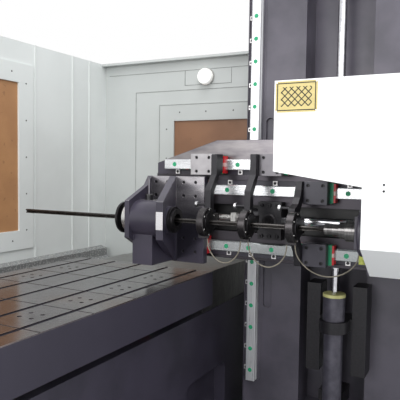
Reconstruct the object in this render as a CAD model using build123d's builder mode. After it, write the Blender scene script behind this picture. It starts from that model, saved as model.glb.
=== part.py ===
from build123d import *
import os
from math import radians, tan

os.makedirs("parts", exist_ok=True)

# Deep hole drilling machine, in millimetres. The drill runs along X and points to -X.
# The table slides along Y, the beam with all the drilling gear climbs along Z.
# The origin lies on the floor, in the middle of the footprint.

# Guard and floor tray
guard_length = 3100.0
guard_depth = 2466.0
guard_height = 2110.0
panel_thickness = 15.0
tray_floor = 12.0
tray_rim = 120.0
rim_thickness = 6.0

# Guard windows and lamp
window_thickness = 6.0
left_window_width = 900.0
left_window_height = 800.0
left_window_y = -5.0
left_window_z = 1488.0
back_window_width = 620.0
back_window_height = 640.0
back_window_x = -697.0
back_window_z = 1411.0
frame_border = 104.0
frame_relief = 9.0
lamp_x = -788.0
lamp_z = 1988.0
lamp_radius = 46.0
lamp_length = 38.0

# Table
table_width = 800.0
table_length = 1500.0
table_thickness = 160.0
table_top = 951.0
table_x = -820.0
table_rest_y = -165.0
slot_pitch = 160.0
slot_count = 5
slot_neck = 18.0
slot_head = 32.0
slot_head_height = 14.0
slot_depth = 36.0
groove_pitch = 248.0
groove_count = 6
groove_width = 6.0
groove_depth = 3.0
hole_radius = 8.0
hole_depth = 20.0
hole_spread = 26.0

# Linear guides, the same size on every axis
rail_width = 45.0
rail_height = 38.0
seat_depth = 8.0
block_height = 60.0
block_foot = 10.0
block_width = 86.0
block_length = 98.0
end_cap = 14.0
wiper = 8.0
rail_gap = 0.3
clamp_pitch = 105.0
clamp_size = 20.0
clamp_height = 8.0

# Bed under the table
bed_width = 700.0
bed_wall = 60.0
bed_end_margin = 60.0
table_rail_spacing = 480.0
table_block_spacing = 900.0

# Column
column_x = 125.0
column_width = 874.0
column_depth = 420.0
column_back_gap = 93.0
column_top = 2350.0
column_foot = 90.0
column_foot_height = 80.0
column_rail_spacing = 766.0
column_channel_width = 300.0
column_channel_depth = 150.0
column_wall = 60.0
column_rail_bottom = 420.0

# Beam, measured from the drill line
drill_z = 1223.0
drill_reach = 246.0
beam_left = -665.0
beam_right = 1150.0
beam_depth = 184.0
beam_below_drill = 181.0
beam_above_drill = 343.0
beam_slope_run = 312.0
beam_slope_drop = 102.0
beam_web = 90.0
beam_travel_up = 600.0
rail_offset_low = 124.0
rail_offset_middle = 124.0
rail_offset_top = 234.0
beam_rail_margin = 12.0
channel_height = 120.0
channel_depth = 60.0
beam_block_spacing = 300.0

# Drill bush housing
housing_left = -661.0
housing_width = 292.0
plate_thickness = 35.0
housing_plate_up = 180.0
housing_plate_down = 202.0
housing_radius = 78.0
barrel_left = -622.0
barrel_right = -467.0
left_rib_thickness = 22.0
right_rib_thickness = 33.0
right_rib_x = -543.0
rib_pad_half = 37.0
pad_relief = 2.0
boss_radius = 57.0
box_left = -604.0
box_width = 98.0
box_drop = 192.0
box_front = 44.0
bush_travel = 40.0
collar_radius = 66.0
nose_radius = 60.0
nose_length = 26.0

# Drill and its tool holder
drill_radius = 10.0
drill_tip_x = -1251.0
shank_radius = 21.0
shank_left = 205.0
chuck_left = 262.0
chuck_length = 60.0
chuck_radius = 38.0
running_gap = 0.05

# Whip guides: the middle of each ring, along X
guide_one_x = -280.0
guide_two_x = -102.0
guide_three_x = 88.0
ring_length = 32.0
ring_radius = 58.0
ring_bore_radius = 36.0
insert_bore_radius = drill_radius + 1.0
arm_thickness = 26.0
guide_plate_length = 98.0
guide_plate_width = 92.0
guide_one_plate_length = 118.0

# Feed carriage
carriage_left = 330.0
carriage_width = 300.0
spindle_housing_radius = 88.0
spindle_radius = 34.0
motor_length = 210.0
motor_size = 150.0

# Ball screws
screw_radius = 20.0
screw_gap = 0.05
nut_radius = 38.0
feed_screw_sink = 11.0
push_rod_radius = 20.0
push_tube_radius = 28.0
push_head_radius = 46.0
balance_rod_radius = 12.0
balance_radius = 46.0
balance_reach = 145.0
balance_x = 167.0
balance_top = 919.0

# Spindle cover
cover_left = 108.0
cover_step_x = 391.0
cover_right = 1250.0
cover_reach = 290.0
cover_sheet = 3.0
cover_top = 1722.0
cover_low_left = 1432.0
cover_low_step = 1388.0
cover_bend_z = 1200.0
cover_return_drop = 110.0
cover_return_run = 170.0

# Places that follow from the sizes above
left_wall_x = -guard_length / 2 + panel_thickness
back_wall_y = guard_depth / 2 - panel_thickness
bed_seat = table_top - table_thickness - block_height
bed_top = bed_seat + seat_depth
column_face_y = back_wall_y - column_back_gap - column_depth
column_seat_y = column_face_y + seat_depth
beam_back_y = column_seat_y - block_height
beam_face_y = beam_back_y - beam_depth
beam_seat_y = beam_face_y + seat_depth
block_face_y = beam_seat_y - block_height
plate_face_y = block_face_y - plate_thickness
drill_y = beam_face_y - drill_reach
feed_screw_y = beam_face_y + feed_screw_sink
balance_y = column_face_y - balance_reach
cover_front_y = drill_y - cover_reach
beam_bottom = drill_z - beam_below_drill
beam_top = drill_z + beam_above_drill
rail_low = drill_z - rail_offset_low
rail_middle = drill_z + rail_offset_middle
rail_top = drill_z + rail_offset_top
rail_heights = [rail_low, rail_middle, rail_top]
table_back = table_rest_y + table_length / 2
bed_back = guard_depth / 2 - rim_thickness - bed_end_margin
bed_front = -bed_back


# Shared forms
def rail_points(gap=0.0):
    """Corners of a rail's section, seat at zero, grown all round by a running gap."""
    half = rail_width / 2 + gap
    waist = half - 4
    right = [
        (half, -gap),
        (half, rail_height * 0.30),
        (waist, rail_height * 0.42),
        (waist, rail_height * 0.62),
        (half, rail_height * 0.75),
        (half, rail_height - 3 + gap),
        (half - 3, rail_height + gap),
    ]
    left = [(-x, y) for x, y in reversed(right)]
    return right + left


def guide_rail(start, along, up, length):
    """A profiled rail that starts at a point on its seat."""
    section = Plane(origin=start, x_dir=Vector(*up).cross(Vector(*along)), z_dir=along)
    with BuildPart() as rail:
        with BuildSketch(section):
            with BuildLine():
                Polyline(*rail_points(), close=True)
            make_face()
        extrude(amount=length)
    return rail.part


def guide_block(centre, along, up):
    """A block that straddles a rail, with an end cap and a wiper at each end."""
    section = Plane(origin=centre, x_dir=Vector(*up).cross(Vector(*along)), z_dir=along)
    with BuildPart() as block:
        for length, inset in (
            (block_length, 0.0),
            (block_length + 2 * end_cap, 3.0),
            (block_length + 2 * end_cap + 2 * wiper, 5.0),
        ):
            with BuildSketch(section):
                with Locations((0, (block_foot + block_height) / 2)):
                    Rectangle(block_width - 2 * inset, block_height - block_foot - 2 * inset)
                with BuildLine():
                    Polyline(*rail_points(rail_gap), close=True)
                make_face(mode=Mode.SUBTRACT)
            extrude(amount=length / 2, both=True)
    return block.part


def rail_clamps(start, along, side, up, count):
    """A row of small wedge clamps that press one side of a rail against its shoulder."""
    offset = rail_width / 2 + rail_gap + clamp_size / 2
    first = Vector(*start) + Vector(*side) * offset
    with BuildPart() as clamps:
        for i in range(count):
            centre = first + Vector(*along) * (clamp_pitch * (i + 0.5))
            with BuildSketch(Plane(origin=centre, x_dir=along, z_dir=up)):
                Rectangle(clamp_size, clamp_size)
            extrude(amount=clamp_height)
    return clamps.part


# Floor tray: a pan with a rim, which catches oil and chips
with BuildPart() as base_tray:
    with BuildSketch():
        Rectangle(guard_length, guard_depth)
    extrude(amount=tray_rim)
    with BuildSketch(Plane.XY.offset(tray_floor)):
        Rectangle(guard_length - 2 * rim_thickness, guard_depth - 2 * rim_thickness)
    extrude(amount=tray_rim, mode=Mode.SUBTRACT)
base_tray.part.label = "base_tray"
export_step(base_tray.part, "parts/base_tray.step")

# Left guard wall, seen from inside: three pressed fields and a window frame
wall_height = guard_height - tray_rim
left_inside = Plane(origin=(left_wall_x, 0, tray_rim), x_dir=(0, 1, 0), z_dir=(1, 0, 0))
wall_seams = [575.0, 890.0, 1050.0]
seam_width = 14.0
seam_relief = 4.0
with BuildPart() as left_wall:
    with BuildSketch(left_inside):
        with Locations((0, wall_height / 2)):
            Rectangle(guard_depth, wall_height)
    extrude(amount=-panel_thickness)
    with BuildSketch(left_inside):
        for seam in wall_seams:
            with Locations((seam, wall_height / 2)):
                Rectangle(seam_width, wall_height)
    extrude(amount=seam_relief)
    with BuildSketch(left_inside):
        with Locations((left_window_y, left_window_z - tray_rim)):
            Rectangle(left_window_width + 2 * frame_border, left_window_height + 2 * frame_border)
    extrude(amount=frame_relief)
    with BuildSketch(left_inside.offset(frame_relief)):
        with Locations((left_window_y, left_window_z - tray_rim)):
            Rectangle(left_window_width, left_window_height)
    extrude(amount=-frame_relief - panel_thickness, mode=Mode.SUBTRACT)
left_wall.part.label = "left_wall"
export_step(left_wall.part, "parts/left_wall.step")

# Back guard wall, with the same kind of frame and a flange folded over at the top
back_inside = Plane(origin=(0, back_wall_y, tray_rim), x_dir=(1, 0, 0), z_dir=(0, -1, 0))
back_width = guard_length - panel_thickness
back_middle = panel_thickness / 2
top_flange = 40.0
with BuildPart() as back_wall:
    with BuildSketch(back_inside):
        with Locations((back_middle, wall_height / 2)):
            Rectangle(back_width, wall_height)
    extrude(amount=-panel_thickness)
    with BuildSketch(back_inside):
        with Locations((back_window_x, back_window_z - tray_rim)):
            Rectangle(back_window_width + 2 * frame_border, back_window_height + 2 * frame_border)
    extrude(amount=frame_relief)
    with BuildSketch(back_inside.offset(frame_relief)):
        with Locations((back_window_x, back_window_z - tray_rim)):
            Rectangle(back_window_width, back_window_height)
    extrude(amount=-frame_relief - panel_thickness, mode=Mode.SUBTRACT)
    with BuildSketch(back_inside):
        with Locations((back_middle, wall_height - panel_thickness / 2)):
            Rectangle(back_width, panel_thickness)
    extrude(amount=top_flange)
back_wall.part.label = "back_wall"
export_step(back_wall.part, "parts/back_wall.step")

# Guard windows: two panes, each held in its wall's opening
pane_gap = 0.3
with BuildPart() as windows:
    with BuildSketch(left_inside.offset(-panel_thickness / 2)):
        with Locations((left_window_y, left_window_z - tray_rim)):
            Rectangle(left_window_width - 2 * pane_gap, left_window_height - 2 * pane_gap)
    extrude(amount=window_thickness)
    with BuildSketch(back_inside.offset(-panel_thickness / 2)):
        with Locations((back_window_x, back_window_z - tray_rim)):
            Rectangle(back_window_width - 2 * pane_gap, back_window_height - 2 * pane_gap)
    extrude(amount=window_thickness)
windows.part.label = "windows"
export_step(windows.part, "parts/windows.step")

# Round work lamp on the back wall
with BuildPart() as work_lamp:
    with BuildSketch(Plane(origin=(lamp_x, back_wall_y, lamp_z), x_dir=(1, 0, 0), z_dir=(0, -1, 0))):
        Circle(lamp_radius)
    extrude(amount=lamp_length)
    fillet(work_lamp.faces().sort_by(Axis.Y)[0].edges(), 6.0)
work_lamp.part.label = "work_lamp"
export_step(work_lamp.part, "parts/work_lamp.step")

# Chip channel: a folded gutter between the left wall and the bed
channel_length = 2 * bed_back
chip_ledge = 925.0
chip_drop = 210.0
chip_reach = 52.0
chip_sheet = 4.0
chip_foot_x = table_x - bed_width / 2 - 6.0
chip_wall_x = left_wall_x + seam_relief + 0.3
chip_top = [
    (chip_wall_x, chip_ledge),
    (left_wall_x + chip_reach, chip_ledge - 12.0),
    (left_wall_x + chip_reach, chip_ledge - 60.0),
    (chip_foot_x, chip_ledge - chip_drop),
]
chip_under = [
    (chip_foot_x, chip_ledge - chip_drop - chip_sheet),
    (left_wall_x + chip_reach - chip_sheet, chip_ledge - 60.0 - chip_sheet),
    (left_wall_x + chip_reach - chip_sheet, chip_ledge - 12.0 - chip_sheet),
    (chip_wall_x, chip_ledge - chip_sheet),
]
with BuildPart() as chip_channel:
    with BuildSketch(Plane(origin=(0, -bed_back, 0), x_dir=(1, 0, 0), z_dir=(0, -1, 0))):
        with BuildLine():
            Polyline(*chip_top, *chip_under, close=True)
        make_face()
    extrude(amount=-channel_length)
chip_channel.part.label = "chip_channel"
export_step(chip_channel.part, "parts/chip_channel.step")

# Bed: a cast box that carries the table, with a sunk seat under each of its two rails
side_window_width = 420.0
side_window_height = 260.0
side_window_pitch = 640.0
bed_length = 2 * bed_back
screw_trough_width = 220.0
screw_trough_depth = 150.0
side_plane = Plane(origin=(table_x, 0, 0), x_dir=(0, 1, 0), z_dir=(1, 0, 0))
bed_middle_z = (tray_floor + bed_top - screw_trough_depth) / 2
with BuildPart() as table_bed:
    with BuildSketch(Plane.XY.offset(tray_floor)):
        with Locations((table_x, 0)):
            Rectangle(bed_width, bed_length)
    extrude(amount=bed_top - tray_floor)
    with BuildSketch(Plane.XY.offset(bed_top)):
        with Locations((table_x, 0)):
            Rectangle(screw_trough_width, bed_length)
    extrude(amount=-screw_trough_depth, mode=Mode.SUBTRACT)
    with BuildSketch(Plane.XY.offset(bed_top)):
        with Locations((table_x, 0)):
            with GridLocations(table_rail_spacing, 1, 2, 1):
                Rectangle(rail_width + clamp_size + 4, bed_length)
    extrude(amount=-seat_depth, mode=Mode.SUBTRACT)
    with BuildSketch(side_plane.offset(bed_width / 2)):
        with Locations((0, bed_middle_z)):
            with GridLocations(side_window_pitch, 1, 3, 1):
                RectangleRounded(side_window_width, side_window_height, 40)
    extrude(amount=-bed_wall, mode=Mode.SUBTRACT)
    with BuildSketch(side_plane.offset(-bed_width / 2)):
        with Locations((0, bed_middle_z)):
            with GridLocations(side_window_pitch, 1, 3, 1):
                RectangleRounded(side_window_width, side_window_height, 40)
    extrude(amount=bed_wall, mode=Mode.SUBTRACT)
table_bed.part.label = "table_bed"
export_step(table_bed.part, "parts/table_bed.step")

# Table rails, each hard against the outer shoulder of its seat
table_rail_x = [table_x - table_rail_spacing / 2, table_x + table_rail_spacing / 2]
with BuildPart() as table_rails:
    for x in table_rail_x:
        add(guide_rail((x, bed_front, bed_seat), (0, 1, 0), (0, 0, 1), bed_length))
table_rails.part.label = "table_rails"
export_step(table_rails.part, "parts/table_rails.step")

# Table: T-slots along Y, fine cross grooves, and groups of four holes beside the outer slots
table_grooves = [table_back - 153.0 - groove_pitch * i for i in range(groove_count)]
hole_rows = [(a + b) / 2 for a, b in zip(table_grooves, table_grooves[1:])]
hole_columns = [table_x - 1.5 * slot_pitch, table_x + 1.5 * slot_pitch]
table_plane = Plane(origin=(table_x, table_rest_y, table_top))
with BuildPart() as table:
    with BuildSketch(table_plane):
        Rectangle(table_width, table_length)
    extrude(amount=-table_thickness)
    chamfer(table.faces().sort_by(Axis.Z)[-1].edges(), 3.0)
    with BuildSketch(table_plane):
        with GridLocations(slot_pitch, 1, slot_count, 1):
            Rectangle(slot_neck, table_length)
    extrude(amount=-slot_depth, mode=Mode.SUBTRACT)
    with BuildSketch(table_plane.offset(-slot_depth)):
        with GridLocations(slot_pitch, 1, slot_count, 1):
            Rectangle(slot_head, table_length)
    extrude(amount=slot_head_height, mode=Mode.SUBTRACT)
    with BuildSketch(Plane.XY.offset(table_top)):
        for groove_y in table_grooves:
            with Locations((table_x, groove_y)):
                Rectangle(table_width, groove_width)
    extrude(amount=-groove_depth, mode=Mode.SUBTRACT)
    with BuildSketch(Plane.XY.offset(table_top)):
        for hole_x in hole_columns:
            for hole_y in hole_rows:
                with Locations((hole_x, hole_y)):
                    with GridLocations(2 * hole_spread, 2 * hole_spread, 2, 2):
                        Circle(hole_radius)
    extrude(amount=-hole_depth, mode=Mode.SUBTRACT)
table.part.label = "table"
export_step(table.part, "parts/table.step")

# Four guide blocks carry the table
with BuildPart() as table_blocks:
    for x in table_rail_x:
        for side in (-1, 1):
            centre = (x, table_rest_y + side * table_block_spacing / 2, bed_seat)
            add(guide_block(centre, (0, 1, 0), (0, 0, 1)))
table_blocks.part.label = "table_blocks"
export_step(table_blocks.part, "parts/table_blocks.step")

# Ball screw of the table, its nut and the nut's bracket
table_screw_z = bed_top - screw_trough_depth / 2 + 20.0
bearing_size = 110.0
bearing_length = 70.0
screw_end_margin = motor_length + 60.0
table_screw_half = bed_back - screw_end_margin
screw_line = Plane(origin=(table_x, -table_screw_half, table_screw_z), x_dir=(1, 0, 0), z_dir=(0, 1, 0))
with BuildPart() as table_screw:
    with BuildSketch(screw_line):
        Circle(screw_radius)
    extrude(amount=2 * table_screw_half)
table_screw.part.label = "table_screw"
export_step(table_screw.part, "parts/table_screw.step")

nut_length = 120.0
nut_plane = Plane(origin=(table_x, table_rest_y, table_screw_z), x_dir=(1, 0, 0), z_dir=(0, 1, 0))
with BuildPart() as table_nut:
    with BuildSketch(nut_plane):
        Circle(nut_radius)
    extrude(amount=nut_length)
    with BuildSketch(nut_plane):
        Rectangle(bearing_size, 2 * nut_radius + 10)
        with Locations((0, -(table_top - table_thickness - table_screw_z) / 2)):
            Rectangle(bearing_size, table_top - table_thickness - table_screw_z)
    extrude(amount=-40.0)
    with BuildSketch(nut_plane.offset(-40.0)):
        Circle(screw_radius + screw_gap)
    extrude(amount=nut_length + 40.0, mode=Mode.SUBTRACT)
table_nut.part.label = "table_nut"
export_step(table_nut.part, "parts/table_nut.step")

# Column: a cast box with a channel for the screw and a sunk seat for each rail
column_front = Plane(origin=(column_x, column_face_y, 0), x_dir=(1, 0, 0), z_dir=(0, -1, 0))
column_rail_x = [column_x - column_rail_spacing / 2, column_x + column_rail_spacing / 2]
column_channel_bottom = 330.0
recess_x = -188.0
recess_width = 43.0
recess_bottom = 780.0
recess_height = 900.0
recess_depth = 12.0
column_rail_length = column_top - column_rail_bottom
with BuildPart() as column:
    with BuildSketch(Plane.XY.offset(tray_floor)):
        with Locations((column_x, column_face_y + column_depth / 2)):
            Rectangle(column_width, column_depth)
    extrude(amount=column_top - tray_floor)
    fillet(column.edges().filter_by(Axis.Z), 14.0)
    with BuildSketch(Plane.XY.offset(tray_floor)):
        with Locations((column_x, column_face_y + (column_depth - column_foot) / 2)):
            Rectangle(column_width + 2 * column_foot, column_depth - column_foot)
    extrude(amount=column_foot_height)
    with BuildSketch(column_front):
        with Locations((0, (column_channel_bottom + column_top) / 2)):
            Rectangle(column_channel_width, column_top - column_channel_bottom)
    extrude(amount=-column_channel_depth, mode=Mode.SUBTRACT)
    with BuildSketch(column_front):
        with Locations((0, column_rail_bottom + column_rail_length / 2)):
            with GridLocations(column_rail_spacing, 1, 2, 1):
                Rectangle(rail_width + 2 * clamp_size + 4, column_rail_length)
    extrude(amount=-seat_depth, mode=Mode.SUBTRACT)
    with BuildSketch(column_front):
        with Locations((recess_x - column_x, recess_bottom + recess_height / 2)):
            RectangleRounded(recess_width, recess_height, 18.0)
    extrude(amount=-recess_depth, mode=Mode.SUBTRACT)
    with BuildSketch(column_front.offset(-column_depth)):
        with Locations((0, column_top / 2)):
            with GridLocations(column_width / 2, column_top / 3, 2, 3):
                RectangleRounded(column_width / 2 - column_wall, column_top / 3 - column_wall * 2, 40.0)
    extrude(amount=column_wall * 2, mode=Mode.SUBTRACT)
column.part.label = "column"
export_step(column.part, "parts/column.step")

# Column rails and the clamps on their outer sides
with BuildPart() as column_rails:
    for x in column_rail_x:
        add(guide_rail((x, column_seat_y, column_rail_bottom), (0, 0, 1), (0, -1, 0), column_rail_length))
column_rails.part.label = "column_rails"
export_step(column_rails.part, "parts/column_rails.step")

column_clamp_count = int(column_rail_length / clamp_pitch)
with BuildPart() as column_clamps:
    for x, side in zip(column_rail_x, ((-1, 0, 0), (1, 0, 0))):
        start = (x, column_seat_y, column_rail_bottom)
        add(rail_clamps(start, (0, 0, 1), side, (0, -1, 0), column_clamp_count))
column_clamps.part.label = "column_clamps"
export_step(column_clamps.part, "parts/column_clamps.step")

# Vertical ball screw, in the column's channel
vertical_screw_y = column_face_y + 45.0
vertical_screw_bottom = column_channel_bottom + 30.0
with BuildPart() as vertical_screw:
    with BuildSketch(Plane(origin=(column_x, vertical_screw_y, vertical_screw_bottom))):
        Circle(screw_radius)
    extrude(amount=column_top - vertical_screw_bottom)
vertical_screw.part.label = "vertical_screw"
export_step(vertical_screw.part, "parts/vertical_screw.step")

# Bearing blocks of the table's screw and of the vertical screw
screw_clearance = screw_radius + screw_gap
bearing_depth = column_channel_depth + column_face_y - vertical_screw_y + 40.0
with BuildPart() as screw_supports:
    for side in (-1, 1):
        block_y = side * (table_screw_half - bearing_length)
        start = Plane(origin=(table_x, block_y, table_screw_z), x_dir=(1, 0, 0), z_dir=(0, 1, 0))
        trough_bottom = table_screw_z - (bed_top - screw_trough_depth)
        with BuildSketch(start):
            with Locations((0, (trough_bottom - bearing_size / 2) / 2)):
                Rectangle(bearing_size, bearing_size / 2 + trough_bottom)
            Circle(screw_clearance, mode=Mode.SUBTRACT)
        extrude(amount=side * bearing_length)
    for block_z in (vertical_screw_bottom, column_top - bearing_length):
        with BuildSketch(Plane(origin=(column_x, vertical_screw_y, block_z))):
            with Locations((0, (bearing_depth - 80.0) / 2)):
                Rectangle(bearing_size, bearing_depth)
            Circle(screw_clearance, mode=Mode.SUBTRACT)
        extrude(amount=bearing_length)
screw_supports.part.label = "screw_supports"
export_step(screw_supports.part, "parts/screw_supports.step")

# Balance cylinder: a stepped tube that stands on the floor tray, with a ring around its mouth
balance_sleeve = 115.0
ring_height = 14.0
balance_bore = balance_rod_radius + running_gap
balance_axis = Plane(origin=(balance_x, balance_y, 0))
balance_sump = 150.0
with BuildPart() as balance_cylinder:
    with BuildSketch(balance_axis.offset(tray_floor)):
        Circle(balance_radius - 6.0)
    extrude(amount=balance_top - balance_sleeve - tray_floor)
    with BuildSketch(balance_axis.offset(balance_top - balance_sleeve)):
        Circle(balance_radius)
    extrude(amount=balance_sleeve - ring_height)
    with BuildSketch(balance_axis.offset(balance_sump)):
        Circle(balance_bore)
    extrude(amount=balance_top - balance_sump, mode=Mode.SUBTRACT)
balance_cylinder.part.label = "balance_cylinder"
export_step(balance_cylinder.part, "parts/balance_cylinder.step")

with BuildPart() as balance_ring:
    with BuildSketch(balance_axis.offset(balance_top - ring_height)):
        Circle(balance_radius + 1.5)
        Circle(balance_bore, mode=Mode.SUBTRACT)
    extrude(amount=ring_height)
    chamfer(balance_ring.faces().sort_by(Axis.Z)[-1].edges().sort_by(SortBy.RADIUS)[-1], 2.0)
balance_ring.part.label = "balance_ring"
export_step(balance_ring.part, "parts/balance_ring.step")

# Bracket that holds the balance cylinder: two cheeks on the column and a collar between them
cheek_front_y = column_face_y - 105.0
cheek_bottom = 560.0
cheek_top = 946.0
cheek_width = 59.0
cheek_outer = 128.0
collar_height = 50.0
collar_outer = balance_radius + 14.0
with BuildPart() as balance_bracket:
    with BuildSketch(Plane.XY.offset(cheek_bottom)):
        with Locations((balance_x, (cheek_front_y + column_face_y) / 2)):
            with GridLocations(2 * cheek_outer - cheek_width, 1, 2, 1):
                Rectangle(cheek_width, column_face_y - cheek_front_y)
    extrude(amount=cheek_top - cheek_bottom)
    with BuildSketch(Plane.XY.offset(balance_top - balance_sleeve - collar_height)):
        with Locations((balance_x, (cheek_front_y + column_face_y) / 2)):
            Rectangle(2 * cheek_outer, column_face_y - cheek_front_y)
        with Locations((balance_x, balance_y)):
            Circle(collar_outer)
            Rectangle(2 * collar_outer, cheek_front_y - balance_y, align=(Align.CENTER, Align.MIN))
            Circle(balance_radius - 6.0 + rail_gap, mode=Mode.SUBTRACT)
    extrude(amount=collar_height)
balance_bracket.part.label = "balance_bracket"
export_step(balance_bracket.part, "parts/balance_bracket.step")

# Beam: a cast slab with a sloped shoulder, a screw channel in front and pockets behind
beam_front = Plane(origin=(0, beam_face_y, 0), x_dir=(1, 0, 0), z_dir=(0, -1, 0))
beam_length = beam_right - beam_left
beam_middle_x = (beam_left + beam_right) / 2
beam_wall = 40.0
seat_reach = clamp_size + 2 * rail_gap
pocket_edges = [(-640.0, -330.0), (-185.0, 60.0), (200.0, 440.0), (580.0, 840.0), (870.0, 1110.0)]
pocket_low = beam_bottom + beam_wall
pocket_high = beam_top - beam_slope_drop - beam_wall
rail_sides = [-1, 1, -1]
with BuildPart() as beam:
    with BuildSketch(beam_front):
        with BuildLine():
            Polyline(
                (beam_left, beam_bottom),
                (beam_right, beam_bottom),
                (beam_right, beam_top),
                (beam_left + beam_slope_run, beam_top),
                (beam_left, beam_top - beam_slope_drop),
                close=True,
            )
        make_face()
    extrude(amount=-beam_depth)
    chamfer(beam.faces().sort_by(Axis.Y)[0].edges(), 2.0)
    with BuildSketch(beam_front):
        with Locations((beam_middle_x, drill_z)):
            Rectangle(beam_length, channel_height)
    extrude(amount=-channel_depth, mode=Mode.SUBTRACT)
    with BuildSketch(beam_front):
        for rail_z, side in zip(rail_heights, rail_sides):
            with Locations((beam_middle_x, rail_z + side * seat_reach / 2)):
                Rectangle(beam_length, rail_width + seat_reach)
    extrude(amount=-seat_depth, mode=Mode.SUBTRACT)
    with BuildSketch(beam_front.offset(-beam_web)):
        for low, high in pocket_edges:
            with Locations(((low + high) / 2, (pocket_low + pocket_high) / 2)):
                RectangleRounded(high - low, pocket_high - pocket_low, 30.0)
    extrude(amount=beam_web - beam_depth, mode=Mode.SUBTRACT)
beam.part.label = "beam"
export_step(beam.part, "parts/beam.step")

# Three rails on the beam, the top one cut short at the shoulder, with clamps beside them
top_rail_left = beam_left + 60.0
rail_lefts = [beam_left + beam_rail_margin, beam_left + beam_rail_margin, top_rail_left]
rail_right = beam_right - beam_rail_margin
with BuildPart() as beam_rails:
    for rail_x, rail_z in zip(rail_lefts, rail_heights):
        add(guide_rail((rail_x, beam_seat_y, rail_z), (1, 0, 0), (0, -1, 0), rail_right - rail_x))
beam_rails.part.label = "beam_rails"
export_step(beam_rails.part, "parts/beam_rails.step")

with BuildPart() as beam_clamps:
    for rail_x, rail_z, side in zip(rail_lefts, rail_heights, rail_sides):
        count = int((rail_right - rail_x) / clamp_pitch)
        start = (rail_x, beam_seat_y, rail_z)
        add(rail_clamps(start, (1, 0, 0), (0, 0, side), (0, -1, 0), count))
beam_clamps.part.label = "beam_clamps"
export_step(beam_clamps.part, "parts/beam_clamps.step")

# Blocks that carry the beam on the column's rails
beam_middle_z = (beam_bottom + beam_top) / 2
with BuildPart() as vertical_blocks:
    for x in column_rail_x:
        for side in (-1, 1):
            centre = (x, column_seat_y, beam_middle_z + side * beam_block_spacing / 2)
            add(guide_block(centre, (0, 0, 1), (0, -1, 0)))
vertical_blocks.part.label = "vertical_blocks"
export_step(vertical_blocks.part, "parts/vertical_blocks.step")

# Nut of the vertical screw, with its bracket on the back of the beam
vertical_nut_reach = vertical_screw_y - beam_back_y
with BuildPart() as vertical_nut:
    with BuildSketch(Plane(origin=(column_x, vertical_screw_y, beam_middle_z))):
        Circle(nut_radius)
    extrude(amount=nut_length)
    with BuildSketch(Plane(origin=(column_x, vertical_screw_y, beam_middle_z))):
        Rectangle(bearing_size, 2 * nut_radius + 10)
        with Locations((0, -vertical_nut_reach / 2)):
            Rectangle(bearing_size, vertical_nut_reach)
    extrude(amount=-40.0)
    with BuildSketch(Plane(origin=(column_x, vertical_screw_y, beam_middle_z - 40.0))):
        Circle(screw_clearance)
    extrude(amount=nut_length + 40.0, mode=Mode.SUBTRACT)
vertical_nut.part.label = "vertical_nut"
export_step(vertical_nut.part, "parts/vertical_nut.step")

# Balance rod, flanged to the underside of the beam
rod_bottom = balance_top - beam_travel_up - 60.0
rod_flange = 14.0
with BuildPart() as balance_rod:
    with BuildSketch(balance_axis.offset(rod_bottom)):
        Circle(balance_rod_radius)
    extrude(amount=beam_bottom - rod_bottom)
    with BuildSketch(balance_axis.offset(beam_bottom - rod_flange)):
        Circle(2 * balance_rod_radius)
    extrude(amount=rod_flange)
balance_rod.part.label = "balance_rod"
export_step(balance_rod.part, "parts/balance_rod.step")

# Feed screw in the beam's channel, and its two bearing blocks
feed_bearing_left = -134.0
feed_bearing_length = 104.0
far_bearing_length = 70.0
feed_screw_left = feed_bearing_left + 20.0
bearing_flange_up = 80.0
bearing_proud = 44.0
channel_gap = 0.3
feed_line = Plane(origin=(0, feed_screw_y, drill_z), x_dir=(0, 1, 0), z_dir=(1, 0, 0))
with BuildPart() as feed_screw:
    with BuildSketch(feed_line.offset(feed_screw_left)):
        Circle(screw_radius)
    extrude(amount=beam_right - feed_screw_left)
feed_screw.part.label = "feed_screw"
export_step(feed_screw.part, "parts/feed_screw.step")

with BuildPart() as feed_bearings:
    for left, length in (
        (feed_bearing_left, feed_bearing_length),
        (beam_right - far_bearing_length, far_bearing_length),
    ):
        with BuildSketch(Plane(origin=(left, beam_face_y, drill_z), x_dir=(0, 1, 0), z_dir=(1, 0, 0))):
            with Locations((-bearing_proud / 2, 0)):
                Rectangle(bearing_proud, 2 * bearing_flange_up)
            with Locations((channel_depth / 2, 0)):
                Rectangle(channel_depth, channel_height - 2 * channel_gap)
            with Locations((feed_screw_y - beam_face_y, 0)):
                Circle(screw_clearance, mode=Mode.SUBTRACT)
        extrude(amount=length)
feed_bearings.part.label = "feed_bearings"
export_step(feed_bearings.part, "parts/feed_bearings.step")

# Push cylinder, which moves the bush housing: bright gland, tube, and head at the bearing
push_gland_left = -274.0
push_gland_length = 24.0
push_gland_size = 46.0
push_bore = push_rod_radius + running_gap
push_rod_end = -190.0
push_head_length = 40.0
with BuildPart() as push_cylinder:
    with BuildSketch(feed_line.offset(push_gland_left)):
        Rectangle(push_gland_size, push_gland_size)
        Circle(push_bore, mode=Mode.SUBTRACT)
    extrude(amount=push_gland_length)
    push_tube_left = push_gland_left + push_gland_length
    with BuildSketch(feed_line.offset(push_tube_left)):
        Circle(push_tube_radius)
    extrude(amount=feed_bearing_left - push_tube_left)
    with BuildSketch(feed_line.offset(feed_bearing_left - push_head_length)):
        Circle(push_head_radius)
    extrude(amount=push_head_length)
    with BuildSketch(feed_line.offset(push_tube_left)):
        Circle(push_bore)
    extrude(amount=push_rod_end + bush_travel + 4.0 - push_tube_left, mode=Mode.SUBTRACT)
push_cylinder.part.label = "push_cylinder"
export_step(push_cylinder.part, "parts/push_cylinder.step")

# Motors: square bodies with a round flange, for the table, the vertical screw and the feed
motor_flange = 18.0


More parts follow.
